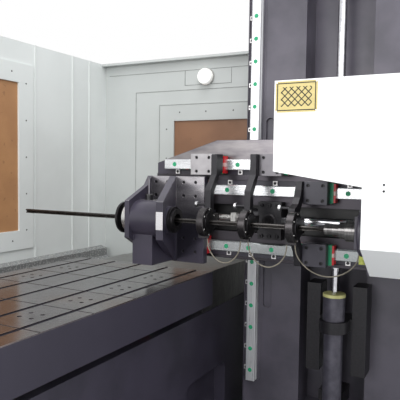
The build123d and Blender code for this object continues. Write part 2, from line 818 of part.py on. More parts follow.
def servo_motor(mounting):
    """A square motor that stands on its flange, with a rounded cap at the far end."""
    with BuildPart() as motor:
        with BuildSketch(mounting):
            Rectangle(motor_size, motor_size)
        extrude(amount=motor_flange)
        with BuildSketch(mounting.offset(motor_flange)):
            RectangleRounded(motor_size - 14.0, motor_size - 14.0, 18.0)
        extrude(amount=motor_length - motor_flange)
    return motor.part


table_motor_face = Plane(
    origin=(table_x, -table_screw_half, table_screw_z), x_dir=(1, 0, 0), z_dir=(0, -1, 0)
)
with BuildPart() as servo_motors:
    add(servo_motor(table_motor_face))
    add(servo_motor(Plane(origin=(column_x, vertical_screw_y + motor_size / 2 - 30.0, column_top))))
servo_motors.part.label = "servo_motors"
export_step(servo_motors.part, "parts/servo_motors.step")

with BuildPart() as feed_motor:
    motor_face = Plane(origin=(beam_right, feed_screw_y + 60.0, drill_z), x_dir=(0, 1, 0), z_dir=(1, 0, 0))
    add(servo_motor(motor_face))
feed_motor.part.label = "feed_motor"
export_step(feed_motor.part, "parts/feed_motor.step")

# Bush housing: a machined back plate, a barrel on the drill line, two slanting ribs that
# narrow from the plate to the barrel's front, a flat seat and a square foot
plate_top = drill_z + housing_plate_up
plate_bottom = drill_z - housing_plate_down
plate_height = plate_top - plate_bottom
plate_middle_z = (plate_top + plate_bottom) / 2
housing_middle = housing_left + housing_width / 2
rib_end_y = drill_y - housing_radius
rib_bend_y = drill_y + collar_radius + rail_gap
pad_left = barrel_right
pad_right = pad_left + right_rib_thickness
barrel_bore = 45.0
plate_front = Plane(origin=(0, plate_face_y, 0), x_dir=(1, 0, 0), z_dir=(0, -1, 0))
drill_line = Plane(origin=(0, drill_y, drill_z), x_dir=(0, 1, 0), z_dir=(1, 0, 0))
lug_width = 33.0
lug_right = housing_left + housing_width - 3.0
plate_bolt_rows = [rail_low, rail_middle]
bolt_spacing = 60.0
bolt_radius = 7.0
bolt_sink = 9.0
housing_block_x = [
    housing_left + block_length / 2 + 26.0,
    housing_left + housing_width - block_length / 2 - 24.0,
]
left_rib_end = barrel_left + left_rib_thickness / 2
left_rib_line = [
    (plate_face_y, housing_left + left_rib_thickness / 2),
    (rib_bend_y, left_rib_end),
    (rib_end_y, left_rib_end),
]
right_rib_end = (pad_left + pad_right) / 2
right_rib_line = [(plate_face_y, right_rib_x + right_rib_thickness / 2), (rib_end_y, right_rib_end)]
barrel_top_z = drill_z + housing_radius
pin_seat_left = left_rib_end
pin_seat_length = pad_left - left_rib_thickness - pin_seat_left
pin_seat_depth = 72.0


def housing_rib(line, thickness):
    """An upright rib that narrows from the plate's height to the barrel's.

    Its line gives a depth and a middle for each bend."""
    with BuildPart() as rib:
        for ends in zip(line, line[1:]):
            for depth, middle in ends:
                share = (plate_face_y - depth) / (plate_face_y - rib_end_y)
                top = plate_top + (barrel_top_z - plate_top) * share
                bottom = plate_bottom + (drill_z - housing_radius - plate_bottom) * share
                with BuildSketch(Plane(origin=(0, depth, 0), x_dir=(1, 0, 0), z_dir=(0, -1, 0))):
                    with Locations((middle, (top + bottom) / 2)):
                        Rectangle(thickness, top - bottom)
            loft()
    return rib.part


with BuildPart() as bush_housing:
    with BuildSketch(drill_line.offset(barrel_left)):
        Circle(housing_radius)
    extrude(amount=pad_right - barrel_left)
    with BuildSketch(Plane.XY.offset(drill_z)):
        with BuildLine():
            Polyline(
                (right_rib_x + right_rib_thickness, plate_face_y),
                (pad_right, rib_end_y),
                (pad_right + right_rib_thickness, rib_end_y),
                (pad_right + right_rib_thickness, plate_face_y),
                close=True,
            )
        make_face()
    extrude(amount=housing_radius + 1.0, both=True, mode=Mode.SUBTRACT)
    with BuildSketch(drill_line.offset(right_rib_x)):
        Circle(boss_radius)
    extrude(amount=pad_right - right_rib_x)
    with BuildSketch(plate_front):
        with Locations((housing_middle, plate_middle_z)):
            Rectangle(housing_width, plate_height)
    extrude(amount=-plate_thickness)
    add(housing_rib(left_rib_line, left_rib_thickness))
    add(housing_rib(right_rib_line, right_rib_thickness))
    with BuildSketch(Plane(origin=(0, rib_end_y, 0), x_dir=(1, 0, 0), z_dir=(0, -1, 0))):
        with Locations((right_rib_end, drill_z)):
            Rectangle(right_rib_thickness, 2 * rib_pad_half)
    extrude(amount=pad_relief)
    with BuildSketch(Plane.XY.offset(drill_z)):
        with Locations((pin_seat_left, drill_y)):
            Rectangle(pin_seat_length, pin_seat_depth, align=(Align.MIN, Align.MIN))
    extrude(amount=housing_radius)
    with BuildSketch(Plane.XY.offset(drill_z - box_drop)):
        with Locations((box_left, drill_y - box_front)):
            Rectangle(box_width, plate_face_y - drill_y + box_front, align=(Align.MIN, Align.MIN))
    extrude(amount=box_drop - barrel_bore)
    with BuildSketch(drill_line.offset(barrel_left)):
        Circle(barrel_bore)
    extrude(amount=pad_right - barrel_left, mode=Mode.SUBTRACT)
    with BuildSketch(plate_front):
        for row in plate_bolt_rows:
            for block_x in housing_block_x:
                with Locations((block_x, row)):
                    with GridLocations(bolt_spacing, bolt_spacing, 2, 2):
                        Circle(bolt_radius)
    extrude(amount=-bolt_sink, mode=Mode.SUBTRACT)
    with BuildSketch(Plane(origin=(lug_right, 0, drill_z), x_dir=(0, 1, 0), z_dir=(-1, 0, 0))):
        with Locations(((block_face_y + feed_screw_y + push_tube_radius) / 2, 0)):
            Rectangle(feed_screw_y + push_tube_radius - block_face_y, 2 * push_tube_radius)
    extrude(amount=lug_width)
bush_housing.part.label = "bush_housing"
export_step(bush_housing.part, "parts/bush_housing.step")

# Blocks under the housing's back plate
with BuildPart() as bush_blocks:
    for row in plate_bolt_rows:
        for block_x in housing_block_x:
            add(guide_block((block_x, beam_seat_y, row), (1, 0, 0), (0, -1, 0)))
bush_blocks.part.label = "bush_blocks"
export_step(bush_blocks.part, "parts/bush_blocks.step")

# Drill bush: a steel nose, a dark collar and a spigot that fills the barrel's bore
collar_length = 20.0
spigot_length = 70.0
nose_left = barrel_left - collar_length - nose_length
nose_tip_radius = 24.0
bush_bore = drill_radius + running_gap
bush_land = 40.0
with BuildPart() as drill_bush:
    with BuildSketch(Plane(origin=(0, drill_y, drill_z), x_dir=(1, 0, 0), z_dir=(0, -1, 0))):
        with BuildLine():
            Polyline(
                (nose_left, bush_bore),
                (nose_left, nose_tip_radius),
                (nose_left + nose_length * 0.35, nose_radius * 0.72),
                (nose_left + nose_length * 0.6, nose_radius),
                (barrel_left - collar_length, nose_radius),
                (barrel_left - collar_length, collar_radius),
                (barrel_left, collar_radius),
                (barrel_left, barrel_bore - running_gap),
                (barrel_left + spigot_length, barrel_bore - running_gap),
                (barrel_left + spigot_length, bush_bore + 8.0),
                (nose_left + bush_land, bush_bore + 8.0),
                (nose_left + bush_land, bush_bore),
                close=True,
            )
        make_face()
    revolve(axis=Axis((0, drill_y, drill_z), (1, 0, 0)))
drill_bush.part.label = "drill_bush"
export_step(drill_bush.part, "parts/drill_bush.step")

# Stepped seal rings at the rear mouth of the barrel
rear_ring_radius = boss_radius - 2.0
rear_ring_step = 12.0
rear_ring_bore = 27.0
with BuildPart() as rear_rings:
    with BuildSketch(drill_line.offset(pad_right - 30.0)):
        Circle(barrel_bore - running_gap)
    extrude(amount=30.0)
    with BuildSketch(drill_line.offset(pad_right)):
        Circle(rear_ring_radius)
    extrude(amount=rear_ring_step)
    with BuildSketch(drill_line.offset(pad_right + rear_ring_step)):
        Circle(rear_ring_radius - 9.0)
    extrude(amount=rear_ring_step)
    with BuildSketch(drill_line.offset(pad_right - 30.0)):
        Circle(rear_ring_bore)
    extrude(amount=30.0 + 2 * rear_ring_step, mode=Mode.SUBTRACT)
rear_rings.part.label = "rear_rings"
export_step(rear_rings.part, "parts/rear_rings.step")

# Upright pin with a knob, on the flat seat between the ribs
pin_x = pin_seat_left + 46.0
pin_radius = 4.5
pin_height = 92.0
pin_knob_radius = 17.0
pin_knob_height = 26.0
with BuildPart() as lock_pin:
    with BuildSketch(Plane(origin=(pin_x, drill_y + pin_knob_radius + 6.0, barrel_top_z))):
        Circle(pin_knob_radius)
    extrude(amount=pin_knob_height)
    fillet(lock_pin.faces().sort_by(Axis.Z)[-1].edges(), 6.0)
    with BuildSketch(Plane(origin=(pin_x, drill_y + pin_knob_radius + 6.0, barrel_top_z))):
        Circle(pin_radius)
    extrude(amount=pin_height)
lock_pin.part.label = "lock_pin"
export_step(lock_pin.part, "parts/lock_pin.step")

# Rod of the push cylinder, held in the housing's lug
with BuildPart() as push_rod:
    with BuildSketch(feed_line.offset(lug_right)):
        Circle(push_rod_radius)
    extrude(amount=push_rod_end - lug_right)
push_rod.part.label = "push_rod"
export_step(push_rod.part, "parts/push_rod.step")

# Whip guides: arms that come down behind the drill and carry a ring on its line
arm_lift = 44.0
arm_top = rail_top + arm_lift
arm_back = block_face_y - 7.0
arm_front = plate_face_y - 34.0
arm_clear_z = plate_top + 9.0
arm_low_front = drill_y + 70.0
arm_low_depth = 34.0
arm_knee_z = drill_z + 127.0
ring_overlap = 2.0
lug_half = 30.0
lug_front = drill_y + ring_bore_radius + 4.0
knob_radius = 12.0
knob_stem = 38.0
knob_y = arm_low_front + 12.0
knob_z = drill_z + 65.0
gland_size = 11.0
gland_z = drill_z - ring_radius - 9.0
gland_y = drill_y + 8.0
gland_shift = 6.0


def guide_ring(middle_x):
    """The ring around the drill, without its bore."""
    with BuildPart() as ring:
        with BuildSketch(drill_line.offset(middle_x - ring_length / 2)):
            Circle(ring_radius)
        extrude(amount=ring_length)
        chamfer(ring.edges().filter_by(GeomType.CIRCLE), 3.0)
    return ring.part


def ring_arm(middle_x, corners, corner_radius):
    """A flat arm, cut to an outline in the YZ plane, with a lug that holds the ring in front.

    It carries a locking knob on a stem, and the ring a square wire gland at each side below."""
    ring_left = middle_x - ring_length / 2
    arm_left = ring_left - arm_thickness + ring_overlap
    knob_left = arm_left - knob_stem
    knob_plane = Plane(origin=(0, knob_y, knob_z), x_dir=(0, 1, 0), z_dir=(1, 0, 0))
    with BuildPart() as arm:
        with BuildSketch(Plane(origin=(arm_left, 0, 0), x_dir=(0, 1, 0), z_dir=(1, 0, 0))) as outline:
            with BuildLine():
                Polyline(*corners, close=True)
            make_face()
            fillet(outline.vertices(), corner_radius)
        extrude(amount=arm_thickness)
        add(guide_ring(middle_x))
        with BuildSketch(Plane.XY.offset(drill_z)):
            with Locations((arm_left, lug_front)):
                Rectangle(
                    middle_x + ring_length / 2 - 4.0 - arm_left,
                    arm_low_front + arm_low_depth - lug_front,
                    align=(Align.MIN, Align.MIN),
                )
        extrude(amount=lug_half, both=True)
        with BuildSketch(Plane.XY.offset(gland_z)):
            with Locations((arm_left + arm_thickness / 2 - gland_size / 2, gland_y)):
                Rectangle(gland_size + arm_thickness, gland_size, align=(Align.MIN, Align.CENTER))
            with Locations((middle_x + gland_shift, gland_y)):
                Rectangle(gland_size, gland_size)
        extrude(amount=drill_z - ring_bore_radius - 4.0 - gland_z)
        with BuildSketch(knob_plane.offset(knob_left)):
            Circle(knob_radius * 0.45)
        extrude(amount=knob_stem + arm_thickness / 2)
        with BuildSketch(knob_plane.offset(knob_left)):
            Circle(knob_radius)
        extrude(amount=-knob_radius)
        chamfer(arm.faces().sort_by(Axis.X)[0].edges(), 2.0)
        with BuildSketch(drill_line.offset(ring_left)):
            Circle(ring_bore_radius)
        extrude(amount=ring_length, mode=Mode.SUBTRACT)
    return arm.part


def guide_plate(left, length, row):
    """A plate on a guide block, with its four bolt holes."""
    with BuildPart() as plate:
        with BuildSketch(plate_front):
            with Locations((left + length / 2, row)):
                Rectangle(length, guide_plate_width)
        extrude(amount=-plate_thickness)
        chamfer(plate.faces().sort_by(Axis.Y)[0].edges(), 1.5)
        with BuildSketch(plate_front):
            with Locations((left + length / 2, row)):
                with GridLocations(bolt_spacing, bolt_spacing, 2, 2):
                    Circle(bolt_radius)
        extrude(amount=-bolt_sink, mode=Mode.SUBTRACT)
    return plate.part


bent_corners = [
    (arm_front, arm_top),
    (arm_front, arm_clear_z + 4.0),
    (arm_low_front, arm_knee_z),
    (arm_low_front, drill_z - lug_half),
    (arm_low_front + arm_low_depth, drill_z - lug_half),
    (arm_low_front + arm_low_depth, arm_knee_z - 10.0),
    (plate_face_y - 4.0, arm_clear_z),
    (arm_back, arm_clear_z + 16.0),
    (arm_back, arm_top),
]
fork_top = rail_middle + guide_plate_width / 2
fork_bottom = rail_low - guide_plate_width / 2
fork_curve = [(17.0, 0.0), (24.0, -34.0), (38.0, -64.0), (62.0, -88.0), (104.0, -106.0)]
forked_corners = [
    *[(plate_face_y - forward, fork_top + down) for forward, down in fork_curve],
    *[(plate_face_y - forward, fork_bottom - down) for forward, down in reversed(fork_curve)],
    (arm_back, fork_bottom),
    (arm_back, rail_low + 10.0),
    (arm_back - 80.0, drill_z - 34.0),
    (arm_back - 80.0, drill_z + 34.0),
    (arm_back, rail_middle - 10.0),
    (arm_back, fork_top),
]
arm_corner_radius = 8.0
guide_middles = [guide_one_x, guide_two_x, guide_three_x]
guide_corners = [bent_corners, bent_corners, forked_corners]
arm_lefts = [x - ring_length / 2 - arm_thickness + ring_overlap for x in guide_middles]

for i in range(3):
    guide_arm = ring_arm(guide_middles[i], guide_corners[i], arm_corner_radius)
    guide_arm.label = f"guide_{i + 1}_arm"
    export_step(guide_arm, f"parts/guide_{i + 1}_arm.step")

# Split insert in each ring: a flanged sleeve that the drill turns in
insert_flange = 6.0
insert_left_flush = 2.0
for i in range(3):
    sleeve_left = guide_middles[i] - ring_length / 2 + insert_left_flush
    sleeve_right = guide_middles[i] + ring_length / 2
    with BuildPart() as insert:
        with BuildSketch(drill_line.offset(sleeve_left)):
            Circle(ring_bore_radius - running_gap)
        extrude(amount=sleeve_right - sleeve_left)
        with BuildSketch(drill_line.offset(sleeve_right)):
            Circle(ring_bore_radius + 6.0)
        extrude(amount=insert_flange)
        with BuildSketch(drill_line.offset(sleeve_left)):
            Circle(insert_bore_radius)
        extrude(amount=sleeve_right + insert_flange - sleeve_left, mode=Mode.SUBTRACT)
    insert.part.label = f"guide_{i + 1}_insert"
    export_step(insert.part, f"parts/guide_{i + 1}_insert.step")

# Plates and blocks of the guides: one block each on the top rail, and two for the third
arm_rights = [left + arm_thickness for left in arm_lefts]
guide_one_plate_left = arm_lefts[0] - guide_one_plate_length
guide_one_block_x = guide_one_plate_left + guide_plate_length / 2 + 24.0
guide_two_block_x = arm_rights[1] + guide_plate_length / 2
guide_three_block_x = arm_rights[2] + guide_plate_length / 2
with BuildPart() as guide_1_carriage:
    add(guide_plate(guide_one_plate_left, guide_one_plate_length, rail_top))
    add(guide_block((guide_one_block_x, beam_seat_y, rail_top), (1, 0, 0), (0, -1, 0)))
guide_1_carriage.part.label = "guide_1_carriage"
export_step(guide_1_carriage.part, "parts/guide_1_carriage.step")

with BuildPart() as guide_2_carriage:
    add(guide_plate(arm_rights[1], guide_plate_length, rail_top))
    add(guide_block((guide_two_block_x, beam_seat_y, rail_top), (1, 0, 0), (0, -1, 0)))
guide_2_carriage.part.label = "guide_2_carriage"
export_step(guide_2_carriage.part, "parts/guide_2_carriage.step")

with BuildPart() as guide_3_carriage:
    for row in (rail_low, rail_middle):
        add(guide_plate(arm_rights[2], guide_plate_length, row))
        add(guide_block((guide_three_block_x, beam_seat_y, row), (1, 0, 0), (0, -1, 0)))
guide_3_carriage.part.label = "guide_3_carriage"
export_step(guide_3_carriage.part, "parts/guide_3_carriage.step")

# Feed carriage: a plate on four blocks, with a bracket behind it for the feed nut
carriage_right = carriage_left + carriage_width
carriage_bottom = rail_low - block_width / 2 - 17.0
carriage_top = rail_middle + block_width / 2 + 14.0
carriage_middle_x = (carriage_left + carriage_right) / 2
carriage_block_half = carriage_width / 2 - block_length / 2 - 22.0
nut_bracket_width = 50.0
with BuildPart() as feed_carriage:
    with BuildSketch(plate_front):
        with Locations((carriage_middle_x, (carriage_bottom + carriage_top) / 2)):
            RectangleRounded(carriage_width, carriage_top - carriage_bottom, 6.0)
    extrude(amount=-plate_thickness)
    with BuildSketch(Plane(origin=(carriage_middle_x, 0, drill_z), x_dir=(0, 1, 0), z_dir=(1, 0, 0))):
        with Locations(((block_face_y + feed_screw_y + nut_radius) / 2, 0)):
            Rectangle(feed_screw_y + nut_radius - block_face_y, 2 * nut_radius + 8.0)
    extrude(amount=nut_bracket_width / 2, both=True)
    with BuildSketch(feed_line.offset(carriage_middle_x)):
        Circle(screw_clearance)
    extrude(amount=nut_bracket_width, both=True, mode=Mode.SUBTRACT)
feed_carriage.part.label = "feed_carriage"
export_step(feed_carriage.part, "parts/feed_carriage.step")

with BuildPart() as feed_blocks:
    for row in plate_bolt_rows:
        for side in (-1, 1):
            block_x = carriage_middle_x + side * carriage_block_half
            add(guide_block((block_x, beam_seat_y, row), (1, 0, 0), (0, -1, 0)))
feed_blocks.part.label = "feed_blocks"
export_step(feed_blocks.part, "parts/feed_blocks.step")

# Spindle housing: a quill body on a saddle, bolted to the carriage
spindle_left = carriage_left + 6.0
spindle_right = carriage_right
saddle_half = 62.0
face_plate_size = 112.0
face_plate_thickness = 12.0
with BuildPart() as spindle_housing:
    with BuildSketch(drill_line.offset(spindle_left)):
        Circle(spindle_housing_radius)
    extrude(amount=spindle_right - spindle_left)
    chamfer(spindle_housing.edges().filter_by(GeomType.CIRCLE), 5.0)
    with BuildSketch(drill_line.offset(spindle_left + 12.0)):
        with Locations(((plate_face_y - drill_y) / 2, 0)):
            Rectangle(plate_face_y - drill_y, 2 * saddle_half)
    extrude(amount=spindle_right - spindle_left - 24.0)
    with BuildSketch(drill_line.offset(spindle_left - face_plate_thickness)):
        Rectangle(face_plate_size, face_plate_size)
    extrude(amount=face_plate_thickness)
    with BuildSketch(Plane.XY.offset(gland_z)):
        with Locations((spindle_left - face_plate_thickness / 2, gland_y)):
            Rectangle(face_plate_thickness, gland_size)
    extrude(amount=drill_z - face_plate_size / 2 - gland_z + 2.0)
    with BuildSketch(drill_line.offset(spindle_left - face_plate_thickness)):
        Circle(spindle_radius + running_gap)
    extrude(amount=spindle_right - spindle_left + face_plate_thickness, mode=Mode.SUBTRACT)
spindle_housing.part.label = "spindle_housing"
export_step(spindle_housing.part, "parts/spindle_housing.step")

# Spindle motor behind the housing
with BuildPart() as spindle_motor:
    add(servo_motor(drill_line.offset(spindle_right)))
spindle_motor.part.label = "spindle_motor"
export_step(spindle_motor.part, "parts/spindle_motor.step")

# Spindle with its stepped chuck and the shank that holds the drill
shank_socket = 30.0
with BuildPart() as spindle:
    with BuildSketch(Plane(origin=(0, drill_y, drill_z), x_dir=(1, 0, 0), z_dir=(0, -1, 0))):
        with BuildLine():
            Polyline(
                (shank_left, drill_radius),
                (shank_left, shank_radius - 3.0),
                (shank_left + 3.0, shank_radius),
                (chuck_left, shank_radius),
                (chuck_left, chuck_radius - 8.0),
                (chuck_left + chuck_length * 0.4, chuck_radius - 8.0),
                (chuck_left + chuck_length * 0.4, chuck_radius),
                (chuck_left + chuck_length, chuck_radius),
                (chuck_left + chuck_length, spindle_radius),
                (spindle_right, spindle_radius),
                (spindle_right, 0),
                (shank_left + shank_socket, 0),
                (shank_left + shank_socket, drill_radius),
                close=True,
            )
        make_face()
    revolve(axis=Axis((0, drill_y, drill_z), (1, 0, 0)))
spindle.part.label = "spindle"
export_step(spindle.part, "parts/spindle.step")

# Gun drill: a tube with one straight V-groove, and a slightly thicker tip
flute_half_angle_run = 0.62
tip_length = 46.0
tube_relief = 0.5
with BuildPart() as drill:
    for left, length, radius in (
        (drill_tip_x, tip_length, drill_radius),
        (drill_tip_x + tip_length, shank_left - drill_tip_x - tip_length, drill_radius - tube_relief),
    ):
        with BuildSketch(drill_line.offset(left)):
            Circle(radius)
            with BuildLine():
                Polyline(
                    (-1.0, -1.0),
                    (-2 * drill_radius, 2 * drill_radius * flute_half_angle_run),
                    (-2 * drill_radius, -2 * drill_radius * flute_half_angle_run * 2),
                    close=True,
                )
            make_face(mode=Mode.SUBTRACT)
        extrude(amount=length)
    with BuildSketch(drill_line.offset(shank_left)):
        Circle(drill_radius)
    extrude(amount=shank_socket)
drill.part.label = "drill"
export_step(drill.part, "parts/drill.step")

# Grease fittings on the left edge of the feed carriage
fitting_length = 32.0
fitting_height = 40.0
with BuildPart() as grease_fittings:
    with BuildSketch(Plane(origin=(carriage_left, 0, rail_low), x_dir=(0, 1, 0), z_dir=(-1, 0, 0))):
        with Locations(((plate_face_y + block_face_y) / 2, 0)):
            Rectangle(plate_thickness - 10.0, fitting_height)
    extrude(amount=fitting_length)
    with BuildSketch(plate_front.offset(-5.0)):
        with Locations((carriage_left - fitting_length / 2, rail_low)):
            with GridLocations(1, fitting_height / 2, 1, 2):
                RegularPolygon(7.0, 6)
    extrude(amount=12.0)
grease_fittings.part.label = "grease_fittings"
export_step(grease_fittings.part, "parts/grease_fittings.step")

# Spindle cover: one folded sheet that stands on the beam, with a stepped lower edge
cover_back_y = beam_face_y + 48.0
cover_foot = 36.0
cover_front = Plane(origin=(0, cover_front_y, 0), x_dir=(1, 0, 0), z_dir=(0, -1, 0))
cover_side_lift = 1520.0
cover_depth = cover_back_y - cover_front_y
with BuildPart() as spindle_cover:
    with BuildSketch(cover_front):
        with BuildLine():
            Polyline(
                (cover_left, cover_top),
                (cover_left, cover_low_left),
                (cover_step_x, cover_low_step),
                (cover_step_x, cover_bend_z),
                (cover_right, cover_bend_z),
                (cover_right, cover_top),
                close=True,
            )
        make_face()
    extrude(amount=-cover_sheet)
    with BuildSketch(Plane.XY.offset(cover_top)):
        with Locations((cover_left, cover_front_y)):
            Rectangle(cover_right - cover_left, cover_depth, align=(Align.MIN, Align.MIN))
    extrude(amount=-cover_sheet)
    with BuildSketch(Plane(origin=(cover_left, 0, 0), x_dir=(0, 1, 0), z_dir=(1, 0, 0))):
        with BuildLine():
            Polyline(
                (cover_front_y, cover_top),
                (cover_front_y, cover_low_left),
                (drill_y, cover_low_left),
                (drill_y + 100.0, cover_side_lift),
                (beam_face_y - 40.0, cover_side_lift),
                (beam_face_y - 10.0, beam_top + 12.0),
                (cover_back_y, beam_top + 12.0),
                (cover_back_y, cover_top),
                close=True,
            )
        make_face()
    extrude(amount=cover_sheet)
    with BuildSketch(Plane(origin=(cover_step_x, 0, 0), x_dir=(0, 1, 0), z_dir=(1, 0, 0))):
        with BuildLine():
            Polyline(
                (cover_front_y, cover_bend_z),
                (cover_front_y + cover_return_run, cover_bend_z - cover_return_drop),
                (cover_front_y + cover_return_run + 1.0, cover_bend_z - cover_return_drop + cover_sheet),
                (cover_front_y + cover_sheet, cover_bend_z + cover_sheet),
                (cover_front_y, cover_bend_z + cover_sheet),
                close=True,
            )
        make_face()
    extrude(amount=cover_right - cover_step_x)
    with BuildSketch(Plane(origin=(cover_left, 0, 0), x_dir=(0, 1, 0), z_dir=(1, 0, 0))):
        with BuildLine():
            Polyline(
                (cover_back_y, cover_top),
                (cover_back_y, beam_top),
                (cover_back_y - cover_foot, beam_top),
                (cover_back_y - cover_foot, beam_top + cover_sheet),
                (cover_back_y - cover_sheet, beam_top + cover_sheet),
                (cover_back_y - cover_sheet, cover_top),
                close=True,
            )
        make_face()
    extrude(amount=beam_right - cover_left)
spindle_cover.part.label = "spindle_cover"
export_step(spindle_cover.part, "parts/spindle_cover.step")

# Rear way cover: three nested sheet sections between the table and the back wall
section_length = 330.0
section_sheet = 4.0
section_top = 930.0
section_half = 346.0
section_step = section_sheet + rail_gap


def way_section(index, start_y, foot_z):
    """One section: a sheet bent to a U that opens downwards, nested by its index."""
    half = section_half - index * section_step
    top = section_top - index * section_step
    with BuildPart() as section:
        with BuildSketch(Plane(origin=(table_x, start_y, 0), x_dir=(1, 0, 0), z_dir=(0, -1, 0))):
            with BuildLine():
                Polyline(
                    (-half, foot_z),
                    (-half, top),
                    (half, top),
                    (half, foot_z),
                    (half - section_sheet, foot_z),
                    (half - section_sheet, top - section_sheet),
                    (-half + section_sheet, top - section_sheet),
                    (-half + section_sheet, foot_z),
                    close=True,
                )
            make_face()
        extrude(amount=-section_length)
    return section.part


fixed_section_y = bed_back - section_length
middle_section_y = (table_back + fixed_section_y) / 2
rear_cover_table = way_section(0, table_back, bed_top + rail_gap)
rear_cover_table.label = "rear_cover_table"
export_step(rear_cover_table, "parts/rear_cover_table.step")
rear_cover_middle = way_section(1, middle_section_y, bed_top + rail_gap)
rear_cover_middle.label = "rear_cover_middle"
export_step(rear_cover_middle, "parts/rear_cover_middle.step")
rear_cover_fixed = way_section(2, fixed_section_y, bed_top)
rear_cover_fixed.label = "rear_cover_fixed"
export_step(rear_cover_fixed, "parts/rear_cover_fixed.step")

# Sensor wires, each hanging in a loop from one gland to the next
wire_radius = 2.5
wire_loop = [
    (0.0, -0.24),
    (0.09, -0.58),
    (0.28, -0.91),
    (0.55, -1.03),
    (0.80, -0.84),
    (0.95, -0.52),
    (1.0, -0.22),
]
wire_drops = [94.0, 94.0, 108.0]
wire_starts = [x + gland_shift for x in guide_middles]
wire_ends = [
    arm_lefts[1] + arm_thickness / 2,
    arm_lefts[2] + arm_thickness / 2,
    spindle_left - face_plate_thickness / 2,
]


def tangent_radii(points):
    """The largest arc at each corner that its two runs allow."""
    radii = []
    for before, corner, after in zip(points, points[1:], points[2:]):
        run_in = Vector(*corner) - Vector(*before)
        run_out = Vector(*after) - Vector(*corner)
        half_turn = radians(run_in.get_angle(run_out)) / 2
        radii.append(0.45 * min(run_in.length, run_out.length) / tan(half_turn))
    return radii


for i in range(3):
    span = wire_ends[i] - wire_starts[i]
    drop = wire_drops[i]
    route = [(wire_starts[i], gland_y, gland_z)]
    route += [(wire_starts[i] + share * span, gland_y, gland_z + down * drop) for share, down in wire_loop]
    route += [(wire_ends[i], gland_y, gland_z)]
    radii = tangent_radii(route)
    with BuildPart() as wire:
        with BuildLine():
            wire_path = FilletPolyline(*route, radius=radii)
        with BuildSketch(Plane(origin=wire_path @ 0, z_dir=wire_path % 0)):
            Circle(wire_radius)
        sweep()
    wire.part.label = f"wire_{i + 1}"
    export_step(wire.part, f"parts/wire_{i + 1}.step")
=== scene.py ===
import math

import bmesh
import bpy
from mathutils import Matrix, Vector


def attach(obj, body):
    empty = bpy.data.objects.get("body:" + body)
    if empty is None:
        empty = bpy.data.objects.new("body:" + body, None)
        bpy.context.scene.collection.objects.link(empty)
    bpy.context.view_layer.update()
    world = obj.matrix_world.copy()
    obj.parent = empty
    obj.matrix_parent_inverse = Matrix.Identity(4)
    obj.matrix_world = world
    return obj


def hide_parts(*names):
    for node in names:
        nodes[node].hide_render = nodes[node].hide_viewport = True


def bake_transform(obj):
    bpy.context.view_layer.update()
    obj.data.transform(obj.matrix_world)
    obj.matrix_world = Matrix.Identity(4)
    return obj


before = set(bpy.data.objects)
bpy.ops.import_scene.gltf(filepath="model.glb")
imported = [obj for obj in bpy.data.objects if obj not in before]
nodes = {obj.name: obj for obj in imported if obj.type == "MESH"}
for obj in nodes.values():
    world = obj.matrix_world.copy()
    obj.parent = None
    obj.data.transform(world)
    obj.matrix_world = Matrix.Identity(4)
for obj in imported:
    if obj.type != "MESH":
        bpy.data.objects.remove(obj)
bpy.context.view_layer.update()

toFront = (0, -1, 0)
drillAxis = (0.223, 1.223)  # y and z of the drill
sunk = 0.001                # how deep a small detail stands in its ground
print("frame loaded", len(nodes), "nodes")


class Signal:
    # one output socket: the operators on it add Math nodes
    def __init__(self, tree, socket):
        self.tree = tree
        self.socket = socket

    def combine(self, operation, other, flipped=False):
        first, second = (other, self) if flipped else (self, other)
        return self.tree.node("ShaderNodeMath", {"operation": operation}, {0: first, 1: second})

    def __add__(self, other):
        return self.combine("ADD", other)

    def __radd__(self, other):
        return self.combine("ADD", other, True)

    def __sub__(self, other):
        return self.combine("SUBTRACT", other)

    def __rsub__(self, other):
        return self.combine("SUBTRACT", other, True)

    def __mul__(self, other):
        return self.combine("MULTIPLY", other)

    def __rmul__(self, other):
        return self.combine("MULTIPLY", other, True)

    def __gt__(self, other):
        return self.combine("GREATER_THAN", other)

    def __lt__(self, other):
        return self.combine("LESS_THAN", other)

    def __mod__(self, other):
        return self.combine("FLOORED_MODULO", other)

    def __abs__(self):
        return self.combine("ABSOLUTE", 0.0)

    def lesser(self, other):
        return self.combine("MINIMUM", other)

    def greater(self, other):
        return self.combine("MAXIMUM", other)

    def sibling(self, name):
        return Signal(self.tree, self.socket.node.outputs[name])


class NodeTree:
    def __init__(self, tree):
        self.tree = tree
        self.tree.nodes.clear()

    def node(self, kind, settings=None, inputs=None, output=0):
        made = self.tree.nodes.new(kind)
        for key, value in (settings or {}).items():
            setattr(made, key, value)
        for key, value in (inputs or {}).items():
            if isinstance(value, Signal):
                self.tree.links.new(value.socket, made.inputs[key])
            else:
                made.inputs[key].default_value = value
        return Signal(self, made.outputs[output]) if len(made.outputs) else made

    def seen(self):
        # one for the rays that show the backdrop: straight, mirrored or passed through
        camera = self.node("ShaderNodeLightPath")
        glossy, passing = camera.sibling("Is Glossy Ray"), camera.sibling("Is Transmission Ray")
        return camera.greater(glossy).greater(passing)


